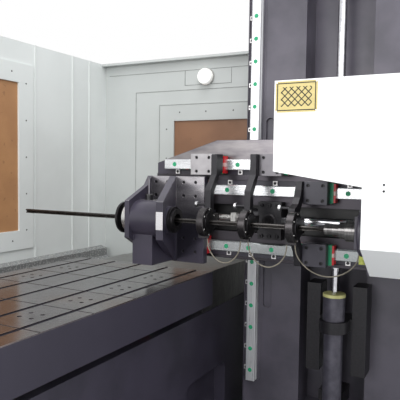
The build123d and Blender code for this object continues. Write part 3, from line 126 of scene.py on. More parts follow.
class Finish(NodeTree):
    def __init__(self, name):
        self.material = bpy.data.materials.new(name)
        self.material.use_nodes = True
        super().__init__(self.material.node_tree)
        self.place = self.node("ShaderNodeTexCoord", output="Object")
        self.x, self.y, self.z = self.split(self.place)

    def split(self, vector):
        x = self.node("ShaderNodeSeparateXYZ", inputs={0: vector})
        return x, x.sibling("Y"), x.sibling("Z")

    def facing(self):
        return self.split(self.node("ShaderNodeTexCoord", output="Normal"))

    def noise(self, scale, detail, stretch=(1, 1, 1)):
        place = self.node("ShaderNodeVectorMath", {"operation": "MULTIPLY"}, {0: self.place, 1: stretch})
        return self.node("ShaderNodeTexNoise", inputs={"Vector": place, "Scale": scale, "Detail": detail})

    def cells(self, scale):
        return self.node("ShaderNodeTexVoronoi", inputs={"Vector": self.place, "Scale": scale})

    def blendColor(self, share, low, high):
        return self.node("ShaderNodeMix", {"data_type": "RGBA"}, {0: share, 6: low, 7: high}, 2)

    def ease(self, value, low, high):
        smooth = {"interpolation_type": "SMOOTHSTEP"}
        return self.node("ShaderNodeMapRange", smooth, {0: value, 1: low, 2: high})

    def band(self, value, low, high):
        return (value > low) * (value < high)

    def softEdge(self, radius):
        return self.node("ShaderNodeBevel", {"samples": 4}, {"Radius": radius})

    def edgeWear(self, rounded):
        # where the rounded normal leaves the flat one there is an edge
        flat = self.node("ShaderNodeNewGeometry", output="Normal")
        product = {"operation": "DOT_PRODUCT"}
        match = self.node("ShaderNodeVectorMath", product, {0: rounded, 1: flat}, "Value")
        return self.ease(1 - match, 0.01, 0.16)

    def bump(self, height, strength, distance, base=None):
        inputs = {"Height": height, "Strength": strength, "Distance": distance}
        if base is not None:
            inputs["Normal"] = base
        return self.node("ShaderNodeBump", inputs=inputs)

    def close(self, color, roughness, metallic=0.0, normal=None, **fixed):
        inputs = {"Base Color": color, "Roughness": roughness, "Metallic": metallic}
        if normal is not None:
            inputs["Normal"] = normal
        inputs.update({key.replace("_", " "): value for key, value in fixed.items()})
        shader = self.node("ShaderNodeBsdfPrincipled", inputs=inputs)
        self.node("ShaderNodeOutputMaterial", inputs={"Surface": shader})
        return self.material


def tone(red, green, blue):
    # a screen colour from 0 to 255 as the linear one that shaders take
    def channel(value):
        value = value / 255
        return value / 12.92 if value <= 0.04045 else ((value + 0.055) / 1.055) ** 2.4
    return (channel(red), channel(green), channel(blue), 1.0)


def dress(material, *names):
    for name in names:
        slots = nodes[name].data.materials
        slots.clear()
        slots.append(material)


def addObject(name, data):
    made = bpy.data.objects.new(name, data)
    bpy.context.scene.collection.objects.link(made)
    return made


# the photograph's camera, its angles in degrees
cameraSettings = {
    "place": (0.725, -1.767, 1.436),
    "turn": 27.4,
    "down": 3.19,
    "roll": 0.8,
    "lens": 49.8,
    "sensor": 36.0,
    "farthest": 60.0,
}


def addCamera(s):
    turn, down, roll = (math.radians(s[key]) for key in ("turn", "down", "roll"))
    forward = Vector((-math.sin(turn) * math.cos(down), math.cos(turn) * math.cos(down), -math.sin(down)))
    right = forward.cross(Vector((0, 0, 1))).normalized()
    upward = right.cross(forward)
    tiltedRight = math.cos(roll) * right + math.sin(roll) * upward
    tiltedUp = -math.sin(roll) * right + math.cos(roll) * upward
    data = bpy.data.cameras.new("camera")
    data.lens = s["lens"]
    data.sensor_width = s["sensor"]
    data.clip_end = s["farthest"]
    camera = addObject("camera", data)
    turned = Matrix((tiltedRight, tiltedUp, -forward)).transposed().to_4x4()
    turned.translation = s["place"]
    camera.matrix_world = turned
    bpy.context.scene.camera = camera


addCamera(cameraSettings)
print("camera placed")


# sensor wires between the glands, one smooth sagging line each
wireSettings = {
    "radius": 0.0025,
    "glandY": 0.231,
    "glandZ": 1.156,
    # share of the span from gland to gland, share of the drop
    "loop": [(0.0, -0.24), (0.09, -0.58), (0.28, -0.91), (0.55, -1.03),
             (0.80, -0.84), (0.95, -0.52), (1.0, -0.22)],
    "runs": [
        {"node": "wire_1", "from": "guide_1", "to": "guide_2",
         "start": -0.274, "end": -0.129, "drop": 0.094, "length": 0.262},
        {"node": "wire_2", "from": "guide_2", "to": "guide_3",
         "start": -0.096, "end": 0.061, "drop": 0.094, "length": 0.271},
        {"node": "wire_3", "from": "guide_3", "to": "feed",
         "start": 0.094, "end": 0.330, "drop": 0.108, "length": 0.356},
    ],
    "light": tone(124, 118, 105),
    "dark": tone(98, 92, 81),
}


def wireFinish(s):
    f = Finish("wireSheath")
    grime = f.noise(60, 4)
    color = f.blendColor(f.ease(grime, 0.4, 0.75), s["light"], s["dark"])
    return f.close(color, 0.45 + grime * 0.15, normal=f.bump(f.noise(900, 2), 0.15, 0.0004))


def meshFrom(source):
    bpy.context.view_layer.update()
    graph = bpy.context.evaluated_depsgraph_get()
    return bpy.data.meshes.new_from_object(source.evaluated_get(graph))


def hangWire(run, s, material):
    y, z = s["glandY"], s["glandZ"]
    span = run["end"] - run["start"]
    route = [(run["start"], y, z)]
    route += [(run["start"] + share * span, y, z + down * run["drop"]) for share, down in s["loop"]]
    route += [(run["end"], y, z)]
    curve = bpy.data.curves.new(run["node"] + "_line", "CURVE")
    curve.dimensions = "3D"
    curve.resolution_u = 16
    curve.use_fill_caps = True
    spline = curve.splines.new("NURBS")
    spline.points.add(len(route) - 1)
    for point, where in zip(spline.points, route):
        point.co = (*where, 1.0)
    spline.order_u = 3
    spline.use_endpoint_u = True
    line = addObject(run["node"] + "_line", curve)
    path = [tuple(vertex.co) for vertex in meshFrom(line).vertices]
    curve.bevel_depth = s["radius"]
    curve.bevel_resolution = 4
    tube = addObject(run["node"] + "_sheath", meshFrom(line))
    bpy.data.objects.remove(line)
    tube.data.materials.clear()
    tube.data.materials.append(material)
    for face in tube.data.polygons:
        face.use_smooth = True
    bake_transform(tube)
    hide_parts(run["node"])
    2 * s["radius"]


sheath = wireFinish(wireSettings)
for run in wireSettings["runs"]:
    hangWire(run, wireSettings, sheath)
print("wires hung")


# cast and painted iron, with worn edges and the skin of sprayed paint
castSettings = {
    "color": tone(63, 59, 73),
    "shade": tone(49, 46, 58),
    "worn": tone(104, 100, 112),
    "edge": 0.002,
}
# the column takes a lighter copy of the same cast paint: painted light
litColumnSettings = {**castSettings, "color": tone(80, 76, 87), "shade": tone(62, 59, 69)}


def castPaint(name, s):
    f = Finish(name)
    rounded = f.softEdge(s["edge"])
    wear = f.edgeWear(rounded) * f.ease(f.noise(35, 5), 0.35, 0.6)
    cloud = f.noise(5, 4)
    body = f.blendColor(f.ease(cloud, 0.35, 0.7), s["color"], s["shade"])
    color = f.blendColor(wear * 0.65, body, s["worn"])
    skin = f.noise(420, 2) * 0.6 + f.noise(60, 3)
    roughness = 0.33 + cloud * 0.16 - wear * 0.08
    normal = f.bump(skin, 0.10, 0.0015, rounded)
    return f.close(color, roughness, normal=normal, Specular_IOR_Level=0.6)


dress(castPaint("castPaint", castSettings), "table_bed", "spindle_housing", "feed_carriage")
dress(castPaint("columnPaintLit", litColumnSettings), "column")


# the housing: painted all over, with its plate, pad and pin seat machined bare
housingSettings = {
    "paint": tone(58, 54, 67),
    "paintShade": tone(45, 42, 54),
    "bare": tone(196, 192, 195),
    "bareShade": tone(158, 154, 160),
    # the plate's steel turns dark towards the bottom: painted reflection of the dark housing paint
    "paintedDark": tone(74, 71, 83),
    "paintedDarkZ": (1.17, 1.35),
    "plateY": (0.3816, 0.3836),
    "pad": tone(222, 220, 222),
    "padX": (-0.4672, -0.4338),
    "padY": 0.1440,
    "seatZ": (1.3006, 1.3016),
}


def housingFinish(s):
    f = Finish("housingPaint")
    rounded = f.softEdge(castSettings["edge"])
    wear = f.edgeWear(rounded) * f.ease(f.noise(35, 5), 0.35, 0.6)
    paint = f.blendColor(f.ease(f.noise(6, 4), 0.35, 0.7), s["paint"], s["paintShade"])
    paint = f.blendColor(wear * 0.6, paint, castSettings["worn"])
    facing = f.facing()
    front = facing[1] < -0.9
    plate = front * f.band(f.y, *s["plateY"])
    brushed = f.noise(14, 3, (0.4, 1, 3))
    steel = f.blendColor(f.ease(brushed, 0.25, 0.75), s["bareShade"], s["bare"])
    # plate darker towards the bottom: painted reflection
    steel = f.blendColor(f.ease(f.z, *s["paintedDarkZ"]), s["paintedDark"], steel)
    pad = front * (f.y < s["padY"]) * f.band(f.x, *s["padX"])
    seat = (facing[2] > 0.9) * f.band(f.z, *s["seatZ"])
    bright = pad.greater(seat)
    color = f.blendColor(bright, f.blendColor(plate, paint, steel), s["pad"])
    bare = plate.greater(bright)
    roughness = 0.25 - bare * 0.08 + f.noise(25, 3) * 0.1
    skin = f.noise(300, 2) * (1 - bare)
    return f.close(color, roughness, bare * 0.85, f.bump(skin, 0.10, 0.0012, rounded))


dress(housingFinish(housingSettings), "bush_housing")
print("castings painted")


# ground steel on the beam's face, darker low down as painted shade, and paint in its channel and at its
# back, the channel near black as painted shade
beamSettings = {
    "light": tone(134, 130, 131),
    "dark": tone(108, 104, 108),
    "paintedDark": tone(66, 63, 68),
    "paintedDarkZ": (1.40, 1.49),
    "groundY": (0.4703, 0.4695),
    "channelShade": tone(21, 20, 23),
    "channelZ": (1.128, 1.318),
    "channelBack": 0.56,
}


def beamFinish(s):
    f = Finish("groundBeam")
    rounded = f.softEdge(0.0015)
    ground = f.ease(f.y, *s["groundY"])
    marks = f.noise(16, 4, (0.7, 1, 3))
    steel = f.blendColor(f.ease(marks, 0.25, 0.75), s["dark"], s["light"])
    # the face's steel darker below the top rail: painted shade
    steel = f.blendColor(f.ease(f.z, *s["paintedDarkZ"]), s["paintedDark"], steel)
    paint = f.blendColor(f.noise(6, 4), castSettings["color"], castSettings["shade"])
    # the channel's front near black: painted shade of the recess
    channel = f.band(f.z, *s["channelZ"]) * (f.y < s["channelBack"])
    color = f.blendColor(ground, f.blendColor(channel, paint, s["channelShade"]), steel)
    roughness = 0.34 + marks * 0.12 - ground * 0.10
    return f.close(color, roughness, ground * 0.8, f.bump(marks, 0.03, 0.0005, rounded))


dress(beamFinish(beamSettings), "beam")


# table: ground top with brown stains of coolant, painted sides
tableSettings = {
    "light": tone(140, 135, 137),
    "dark": tone(112, 107, 109),
    "stain": tone(132, 104, 86),
    "groundZ": (0.9468, 0.9484),
}


def tableFinish(s):
    f = Finish("groundTable")
    rounded = f.softEdge(0.0015)
    top = f.ease(f.z, *s["groundZ"])
    marks = f.noise(26, 5, (1, 8, 1))
    cloud = f.noise(3.2, 3)
    steel = f.blendColor(f.ease(marks, 0.3, 0.7), s["dark"], s["light"])
    steel = f.blendColor(f.ease(cloud, 0.52, 0.74) * 0.4, steel, s["stain"])
    paint = f.blendColor(f.noise(6, 4), castSettings["color"], castSettings["shade"])
    color = f.blendColor(top, paint, steel)
    roughness = 0.38 - top * 0.24 + cloud * 0.10
    return f.close(color, roughness, top * 0.9, f.bump(marks, 0.03, 0.0003, rounded))


dress(tableFinish(tableSettings), "table")
print("beam and table finished")


# bare and plated metals: light and dark tone, roughness, stretch of the grain, metallic
metalSettings = {
    "polishedScrew": (tone(222, 222, 226), tone(196, 196, 201), 0.10, (3, 3, 3), 0.95),
    "turnedSteel": (tone(208, 206, 204), tone(184, 182, 180), 0.20, (6, 1, 1), 0.95),
    "chuckSteel": (tone(124, 122, 121), tone(88, 86, 86), 0.16, (6, 1, 1), 0.95),
    "rodSteel": (tone(178, 176, 174), tone(148, 146, 144), 0.20, (3, 3, 3), 0.95),
    "darkSteel": (tone(54, 52, 54), tone(36, 35, 38), 0.26, (6, 2, 2), 0.8),
    "clampSteel": (tone(236, 234, 234), tone(212, 210, 210), 0.26, (3, 3, 3), 0.6),
    "nutSteel": (tone(150, 149, 152), tone(122, 121, 125), 0.28, (4, 4, 9), 0.95),
    "blackOxide": (tone(38, 36, 40), tone(25, 24, 28), 0.34, (5, 5, 5), 0.35),
    "drillSteel": (tone(82, 79, 77), tone(56, 54, 54), 0.22, (1, 12, 12), 0.9),
    "waySheet": (tone(150, 148, 146), tone(124, 122, 122), 0.30, (1, 4, 1), 0.95),
    "tableRailSteel": (tone(228, 229, 231), tone(206, 207, 210), 0.20, (9, 0.4, 6), 0.8),
    "columnRailSteel": (tone(228, 229, 231), tone(206, 207, 210), 0.24, (9, 6, 0.4), 0.6),
}
metalNodes = {
    "polishedScrew": ("table_screw", "vertical_screw", "feed_screw", "balance_rod"),
    "turnedSteel": ("drill_bush",),
    "chuckSteel": ("spindle",),
    "rodSteel": ("push_rod",),
    "darkSteel": ("rear_rings", "guide_1_insert", "guide_2_insert", "guide_3_insert", "screw_supports"),
    "clampSteel": ("beam_clamps", "column_clamps"),
    "nutSteel": ("table_nut", "vertical_nut"),
    "blackOxide": ("feed_bearings", "balance_bracket"),
    "drillSteel": ("drill",),
    "waySheet": ("rear_cover_table", "rear_cover_middle", "rear_cover_fixed"),
    "tableRailSteel": ("table_rails",),
    "columnRailSteel": ("column_rails",),
}


def metalFinish(name, light, dark, roughness, grain, metallic):
    f = Finish(name)
    rounded = f.softEdge(0.0008)
    marks = f.noise(20, 3, grain)
    color = f.blendColor(f.ease(marks, 0.25, 0.75), dark, light)
    return f.close(color, roughness + marks * 0.10, metallic, f.bump(marks, 0.02, 0.0002, rounded))


metals = {name: metalFinish(name, *recipe) for name, recipe in metalSettings.items()}
for name, dressed in metalNodes.items():
    dress(metals[name], *dressed)


# beam rails: the low one darker as painted shade, and the ends under the cover darker as the cover's
# painted shadow
beamRailSettings = {
    "light": tone(226, 227, 229),
    "dark": tone(200, 201, 204),
    "low": tone(160, 164, 165),
    "lowZ": (1.18, 1.28),
    "coverShadow": tone(112, 112, 115),
    "coverShadowX": (0.575, 0.60),
}


def beamRailFinish(s):
    f = Finish("beamRailSteel")
    rounded = f.softEdge(0.0008)
    marks = f.noise(20, 3, (0.4, 6, 9))
    steel = f.blendColor(f.ease(marks, 0.25, 0.75), s["dark"], s["light"])
    # darker on the low rail: painted shade
    steel = f.blendColor(f.ease(f.z, *s["lowZ"]), s["low"], steel)
    # darker towards the right end under the cover: painted shadow of the cover
    steel = f.blendColor(f.ease(f.x, *s["coverShadowX"]), steel, s["coverShadow"])
    return f.close(steel, 0.20 + marks * 0.10, 0.8, f.bump(marks, 0.02, 0.0002, rounded))


dress(beamRailFinish(beamRailSettings), "beam_rails")


# push cylinder: pale gland, satin tube, black head at the bearing
pushSettings = {
    "tube": (tone(150, 148, 146), tone(176, 174, 172)),
    "gland": tone(228, 226, 222),
    "glandX": -0.2498,
    "head": tone(36, 35, 39),
    "headX": -0.1742,
}


def pushFinish(s):
    f = Finish("pushSteel")
    marks = f.noise(20, 3, (6, 1, 1))
    gland = f.x < s["glandX"]
    head = f.x > s["headX"]
    color = f.blendColor(gland, f.blendColor(marks, *s["tube"]), s["gland"])
    color = f.blendColor(head, color, s["head"])
    metallic = 0.9 - head * 0.55 - gland * 0.6
    return f.close(color, 0.24 + head * 0.1 + marks * 0.08, metallic, f.softEdge(0.0008))


dress(pushFinish(pushSettings), "push_cylinder")


# locking pin: black knob below, bright pin above
pinSettings = {"knob": tone(22, 21, 24), "pin": tone(122, 120, 126), "knobTop": 1.3275}


def pinFinish(s):
    f = Finish("pinSteel")
    pin = f.z > s["knobTop"]
    color = f.blendColor(pin, s["knob"], s["pin"])
    return f.close(color, 0.3 + f.noise(40, 3) * 0.1, pin * 0.9, f.softEdge(0.0008))


dress(pinFinish(pinSettings), "lock_pin")


# guide blocks: steel bodies, green end caps and red wipers, told apart by their place
blockSettings = {
    "steel": (tone(102, 102, 107), tone(120, 120, 125)),
    "cap": 0.0492,    # where the green begins, from the block's middle
    "green": tone(24, 150, 104),
    "wiper": 0.0632,  # and where the red does
    "red": tone(206, 34, 42),
    "beamRails": (1.099, 1.347, 1.457),
    "middle": 0.008,  # half height of the wiper's pale middle
    "pale": tone(216, 176, 170),
    "plateFace": 0.4168,
}
# plates on the carriages: dark and light tone, metallic
palePlate = (tone(142, 139, 142), tone(184, 181, 183), 0.6)
greyPlate = (tone(98, 95, 100), tone(124, 121, 125), 0.5)
darkPlate = (tone(46, 44, 54), tone(60, 58, 68), 0.15)
# finish, axis of the rail, middles of the blocks along it, plate
blockNodes = {
    "bush_blocks": ("housingBlocks", "x", (-0.586, -0.442), None),
    "feed_blocks": ("feedBlocks", "x", (0.401, 0.559), None),
    "table_blocks": ("tableBlocks", "y", (-0.615, 0.285), None),
    "vertical_blocks": ("beamBlocks", "z", (1.154, 1.454), None),
    "guide_1_carriage": ("guideOneCarriage", "x", (-0.365,), palePlate),
    "guide_2_carriage": ("guideTwoCarriage", "x", (-0.067,), greyPlate),
    "guide_3_carriage": ("guideThreeCarriage", "x", (0.123,), darkPlate),
}


def nearest(value, places):
    reach = abs(value - places[0])
    for place in places[1:]:
        reach = reach.lesser(abs(value - place))
    return reach


def blockFinish(s, name, axis, middles, plate):
    f = Finish(name)
    rounded = f.softEdge(0.0008)
    reach = nearest({"x": f.x, "y": f.y, "z": f.z}[axis], middles)
    wiper = reach > s["wiper"]
    marks = f.noise(24, 3)
    color = f.blendColor(reach > s["cap"], f.blendColor(marks, *s["steel"]), s["green"])
    color = f.blendColor(wiper, color, s["red"])
    if axis == "x":
        onMiddle = nearest(f.z, s["beamRails"]) < s["middle"]
        color = f.blendColor(wiper * onMiddle, color, s["pale"])
    metallic = (reach < s["cap"]) * 0.75
    if plate:
        dark, light, plateMetallic = plate
        onPlate = f.y < s["plateFace"]
        color = f.blendColor(onPlate, color, f.blendColor(marks, dark, light))
        metallic = metallic * (1 - onPlate) + onPlate * plateMetallic
    return f.close(color, 0.28 + marks * 0.12, metallic, f.bump(marks, 0.02, 0.0003, rounded))


for name, recipe in blockNodes.items():
    dress(blockFinish(blockSettings, *recipe), name)
print("metals and blocks finished")


# guide arms: black arm, dark turned ring, silver knob
armSettings = {
    "lefts": {"guide_1_arm": -0.320, "guide_2_arm": -0.142, "guide_3_arm": 0.048},
    "arm": (tone(26, 25, 29), tone(44, 42, 47)),
    "thick": 0.026,   # of the arm, right of its left face
    "ring": (tone(48, 46, 48), tone(74, 71, 72)),
    "worn": tone(132, 130, 134),
    "stem": 0.0378,   # of the knob, left of that face
    "knob": tone(206, 206, 208),
}


def armFinish(s, left):
    f = Finish("guideArm")
    rounded = f.softEdge(0.0012)
    wear = f.edgeWear(rounded) * f.ease(f.noise(60, 4), 0.4, 0.6)
    marks = f.noise(45, 4)
    knob = f.x < left - s["stem"]
    ring = f.x > left + s["thick"]
    color = f.blendColor(ring, f.blendColor(marks, *s["arm"]), f.blendColor(marks, *s["ring"]))
    color = f.blendColor(wear * 0.7, color, s["worn"])
    color = f.blendColor(knob, color, s["knob"])
    roughness = 0.34 - ring * 0.10 - knob * 0.12 + marks * 0.08
    metallic = (0.35 + ring * 0.5 + knob * 0.6).lesser(1.0)
    return f.close(color, roughness, metallic, f.bump(marks, 0.1, 0.0006, rounded))


for name, left in armSettings["lefts"].items():
    dress(armFinish(armSettings, left), name)


# guard walls and tray: smooth enamel with faint waves, dust low down
# light, dull and dusty tone, roughness, depth of the waves
guardSettings = {
    "left_wall": (tone(224, 228, 226), tone(213, 217, 215), tone(184, 186, 180), 0.32, 0.10),
    # the back wall's enamel is a darker copy of the left wall's: painted shade
    "back_wall": (tone(190, 194, 192), tone(181, 185, 183), tone(184, 186, 180), 0.32, 0.10),
    "base_tray": (tone(186, 189, 190), tone(164, 167, 168), tone(150, 150, 146), 0.42, 0.20),
}


def enamelFinish(light, dull, dusty, roughness, waves):
    f = Finish("guardEnamel")
    rounded = f.softEdge(0.0018)
    color = f.blendColor(f.ease(f.noise(2.2, 4), 0.3, 0.75), light, dull)
    dust = f.ease(f.z, 0.75, 0.15) * f.noise(14, 5)
    color = f.blendColor(dust, color, dusty)
    normal = f.bump(f.noise(4, 2) + f.noise(300, 2) * 0.2, waves, 0.002, rounded)
    return f.close(color, roughness + f.noise(9, 3) * 0.12, normal=normal)


for name, recipe in guardSettings.items():
    dress(enamelFinish(*recipe), name)


# chip channel: a gutter strewn with bright curls of swarf
channelSettings = {"swarf": tone(206, 207, 206), "gutter": tone(146, 147, 147)}


def channelFinish(s):
    f = Finish("chipGutter")
    curls = f.ease(f.cells(90.0), 0.05, 0.5)
    color = f.blendColor(curls, s["swarf"], s["gutter"])
    return f.close(color, 0.3 + curls * 0.25, 0.6, f.bump(1 - curls, 0.5, 0.004))


dress(channelFinish(channelSettings), "chip_channel")


# brown masking film on the panes, with scuffs and trapped blisters
filmSettings = {
    # the same brown film in a lighter copy on the left pane and a darker one on the back pane: painted
    # light and shade
    "backPane": (tone(136, 98, 72), tone(124, 88, 64)),
    "leftPane": (tone(180, 134, 92), tone(166, 121, 82)),
    "paneSplitX": -1.4,
    "blister": tone(112, 78, 56),
}


def filmFinish(s):
    f = Finish("paneFilm")
    cloud = f.ease(f.noise(6, 5), 0.3, 0.7)
    spots = f.ease(f.noise(38, 3), 0.66, 0.74)
    backPane = f.blendColor(cloud, *s["backPane"])
    leftPane = f.blendColor(cloud, *s["leftPane"])
    color = f.blendColor(f.x < s["paneSplitX"], backPane, leftPane)
    color = f.blendColor(spots * 0.4, color, s["blister"])
    return f.close(color, 0.42 + cloud * 0.12, normal=f.bump(spots + cloud * 0.3, 0.15, 0.001))


dress(filmFinish(filmSettings), "windows")


# spindle cover: white enamel with one pressed seam
coverSettings = {
    "white": tone(249, 250, 250),
    "dull": tone(243, 245, 245),
    "seam": tone(170, 172, 174),
    "seamZ": (1.3872, 1.3888),
    "seamX": 0.391,
    "front": -0.0665,
}


def coverFinish(s):
    f = Finish("coverEnamel")
    rounded = f.softEdge(0.0016)
    seam = f.band(f.z, *s["seamZ"]) * (f.x > s["seamX"]) * (f.y < s["front"])
    color = f.blendColor(f.noise(3, 3), s["white"], s["dull"])
    color = f.blendColor(seam * 0.4, color, s["seam"])
    normal = f.bump(f.noise(260, 2) - seam * 3, 0.05, 0.001, rounded)
    return f.close(color, 0.26 + f.noise(8, 3) * 0.08, normal=normal, Coat_Weight=0.2)


dress(coverFinish(coverSettings), "spindle_cover")


# plain paints: light and dark tone, roughness, metallic, scale of the marks
paintSettings = {
    "motorPaint": (tone(34, 34, 38), tone(24, 24, 28), 0.36, 0.0, 30),
    "sleevePaint": (tone(84, 82, 92), tone(66, 64, 74), 0.30, 0.3, 30),
    "ringYellow": (tone(206, 204, 142), tone(186, 183, 120), 0.40, 0.0, 30),
    "fittingPlate": (tone(176, 182, 92), tone(132, 140, 66), 0.34, 0.5, 30),
    "capGreen": (tone(30, 168, 116), tone(22, 140, 96), 0.40, 0.0, 200),
    "rivetGrey": (tone(96, 98, 96), tone(74, 76, 74), 0.40, 0.4, 30),
    # the wall seams' grey, darker than the enamel: painted shade of the panel folds
    "seamShadeGrey": (tone(150, 153, 151), tone(126, 129, 127), 0.40, 0.0, 30),
}


def plainFinish(name, light, dark, roughness, metallic, scale):
    f = Finish(name)
    marks = f.noise(scale, 4)
    color = f.blendColor(f.ease(marks, 0.3, 0.7), light, dark)
    skin = f.bump(f.noise(500, 2), 0.06, 0.0006, f.softEdge(0.0012))
    return f.close(color, roughness + marks * 0.12, metallic, skin)


paints = {name: plainFinish(name, *recipe) for name, recipe in paintSettings.items()}
dress(paints["motorPaint"], "servo_motors", "feed_motor", "spindle_motor")
dress(paints["sleevePaint"], "balance_cylinder")
dress(paints["ringYellow"], "balance_ring")
dress(paints["fittingPlate"], "grease_fittings")


# work lamp: a ribbed lens with a faint glow
lensSettings = {
    "light": tone(252, 252, 248),
    "rib": tone(228, 230, 226),
    "glow": (1, 1, 0.96, 1),
    "glowStrength": 0.35,
}


def lensFinish(s):
    f = Finish("lampLens")
    ribs = f.cells(130.0)
    color = f.blendColor(ribs, s["light"], s["rib"])
    return f.close(color, 0.2 + ribs * 0.1, normal=f.bump(ribs, 0.2, 0.001),
                   Emission_Color=s["glow"], Emission_Strength=s["glowStrength"])


dress(lensFinish(lensSettings), "work_lamp")
print("guard, cover and motors finished")


# turned details: rings of radius and height around an axis, round or marked as hex
def lathe(form, centre, axis, rings, sides=20, bored=False):
    axis = Vector(axis).normalized()
    side = axis.orthogonal().normalized()
    other = axis.cross(side)
    loops = []
    for radius, height, *mark in rings:
        loop = []
        for i in range(sides):
            angle = 2 * math.pi * i / sides
            reach = radius
            if mark:
                reach = radius / math.cos((angle + math.pi / 6) % (math.pi / 3) - math.pi / 6)
            across = (side * math.cos(angle) + other * math.sin(angle)) * reach
            loop.append(form.verts.new(Vector(centre) + axis * height + across))
        loops.append(loop)
    for lower, upper in zip(loops, loops[1:] + loops[:1] if bored else loops[1:]):
        for i in range(sides):
            j = (i + 1) % sides
            form.faces.new((lower[i], lower[j], upper[j], upper[i]))
    if not bored:
        form.faces.new(loops[-1])
        form.faces.new(list(reversed(loops[0])))


# socket screw, in shares of its head's radius and height
screwShape = {"shoulder": 0.85, "crown": 0.9, "socket": 0.48, "socketFoot": 0.46, "socketFloor": 0.35}


def socketScrew(form, centre, axis, radius, height):
    s = screwShape
    lathe(form, centre, axis, [
        (radius, -sunk), (radius, height * s["shoulder"]), (radius * s["crown"], height),
        (radius * s["socket"], height, "hex"), (radius * s["socketFoot"], height * s["socketFloor"], "hex"),
    ], 24)


def addPiece(name, form, body, material):
    mesh = bpy.data.meshes.new(name)
    bmesh.ops.recalc_face_normals(form, faces=form.faces)
    form.to_mesh(mesh)
    form.free()
    mesh.materials.append(material)
    piece = addObject(name, mesh)
    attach(piece, body)


# rails: a green cap in each bolt hole, and a screw in each clamp beside the rail
railSettings = {
    "pitch": 0.105,
    "capRadius": 0.010,
    "capHeight": 0.00022,
    "clampOffset": 0.0328,
    "clampTop": 0.008,
    "screwRadius": 0.0062,
    "screwHeight": 0.002,
    # start along x, height, side of the clamps
    "beam": [(-0.653, 1.099, -1), (-0.653, 1.347, 1), (-0.605, 1.457, -1)],
    "beamEnd": 1.138,
    "beamTopY": 0.439,
    "beamSeatY": 0.477,
    # place along x, side of the clamps
    "column": [(-0.258, -1), (0.508, 1)],
    "columnZ": (0.420, 2.350),
    "columnTopY": 0.675,
    "columnSeatY": 0.713,
    "bed": [-1.060, -0.580],
    "bedY": (-1.167, 1.167),
    "bedTopZ": 0.769,
}


def stations(start, end, pitch):
    return [start + pitch * (i + 0.5) for i in range(int((end - start) / pitch))]


def fitRails(s):
    beamCaps, columnCaps, bedCaps = bmesh.new(), bmesh.new(), bmesh.new()
    beamScrews, columnScrews = bmesh.new(), bmesh.new()
    cap = [(s["capRadius"], -sunk), (s["capRadius"], s["capHeight"])]
    screw = (toFront, s["screwRadius"], s["screwHeight"])
    for start, z, side in s["beam"]:
        for x in stations(start, s["beamEnd"], s["pitch"]):
            lathe(beamCaps, (x, s["beamTopY"], z), toFront, cap)
            seat = (x, s["beamSeatY"] - s["clampTop"], z + side * s["clampOffset"])
            socketScrew(beamScrews, seat, *screw)
    for x, side in s["column"]:
        for z in stations(*s["columnZ"], s["pitch"]):
            lathe(columnCaps, (x, s["columnTopY"], z), toFront, cap)
            seat = (x + side * s["clampOffset"], s["columnSeatY"] - s["clampTop"], z)
            socketScrew(columnScrews, seat, *screw)
    for x in s["bed"]:
        for y in stations(*s["bedY"], s["pitch"]):
            lathe(bedCaps, (x, y, s["bedTopZ"]), (0, 0, 1), cap)
    addPiece("beam_rail_caps", beamCaps, "beam", paints["capGreen"])
    addPiece("column_rail_caps", columnCaps, "base", paints["capGreen"])
    addPiece("bed_rail_caps", bedCaps, "base", paints["capGreen"])
    addPiece("beam_clamp_screws", beamScrews, "beam", metals["blackOxide"])
    addPiece("column_clamp_screws", columnScrews, "base", metals["blackOxide"])


fitRails(railSettings)
print("rails fitted")


# socket screws in the plates, four around each block, sunk in their holes
plateSettings = {
    "holeFloor": 0.391,
    "spread": 0.030,
    "radius": 0.0063,
    "height": 0.0075,
    "blocks": {
        "bush": [(-0.586, 1.099), (-0.442, 1.099), (-0.586, 1.347), (-0.442, 1.347)],
        "guide_1": [(-0.379, 1.457)],
        "guide_2": [(-0.067, 1.457)],
        "guide_3": [(0.123, 1.099), (0.123, 1.347)],
    },
}


def fitPlateScrews(s):
    for body, blocks in s["blocks"].items():
        screws = bmesh.new()
        for x, z in blocks:
            for dx in (-s["spread"], s["spread"]):
                for dz in (-s["spread"], s["spread"]):
                    hole = (x + dx, s["holeFloor"], z + dz)
                    socketScrew(screws, hole, toFront, s["radius"], s["height"])
        addPiece(body + "_plate_screws", screws, body, metals["blackOxide"])


fitPlateScrews(plateSettings)


# screws on the feed screw's bearings, and a turned nut on the near one
bearingSettings = {
    "face": 0.425,
    "columns": [-0.116, -0.082, -0.048, 1.098, 1.132],
    "rows": [1.158, 1.288],
    "radius": 0.008,
    "height": 0.009,
    "nutX": -0.082,
    "nut": [(0.030, -sunk), (0.030, 0.004), (0.024, 0.006), (0.012, 0.006), (0.011, 0.003)],
}


def fitBearings(s):
    screws = bmesh.new()
    for x in s["columns"]:
        for z in s["rows"]:
            socketScrew(screws, (x, s["face"], z), toFront, s["radius"], s["height"])
    addPiece("bearing_screws", screws, "beam", metals["blackOxide"])
    nut = bmesh.new()
    lathe(nut, (s["nutX"], s["face"], drillAxis[1]), toFront, s["nut"], 32)
    addPiece("bearing_boss", nut, "beam", metals["darkSteel"])


fitBearings(bearingSettings)


# the drill bush's dark collar and bright nose stand out from the housing's left face
noseSettings = {
    "left": -0.661,
    "collar": [(0.0112, 0.0072), (0.068, 0.0072), (0.068, 0.018), (0.066, 0.020), (0.0112, 0.020)],
    "nose": [(0.0112, 0.0203), (0.056, 0.0203), (0.056, 0.026), (0.046, 0.034), (0.0112, 0.034)],
}


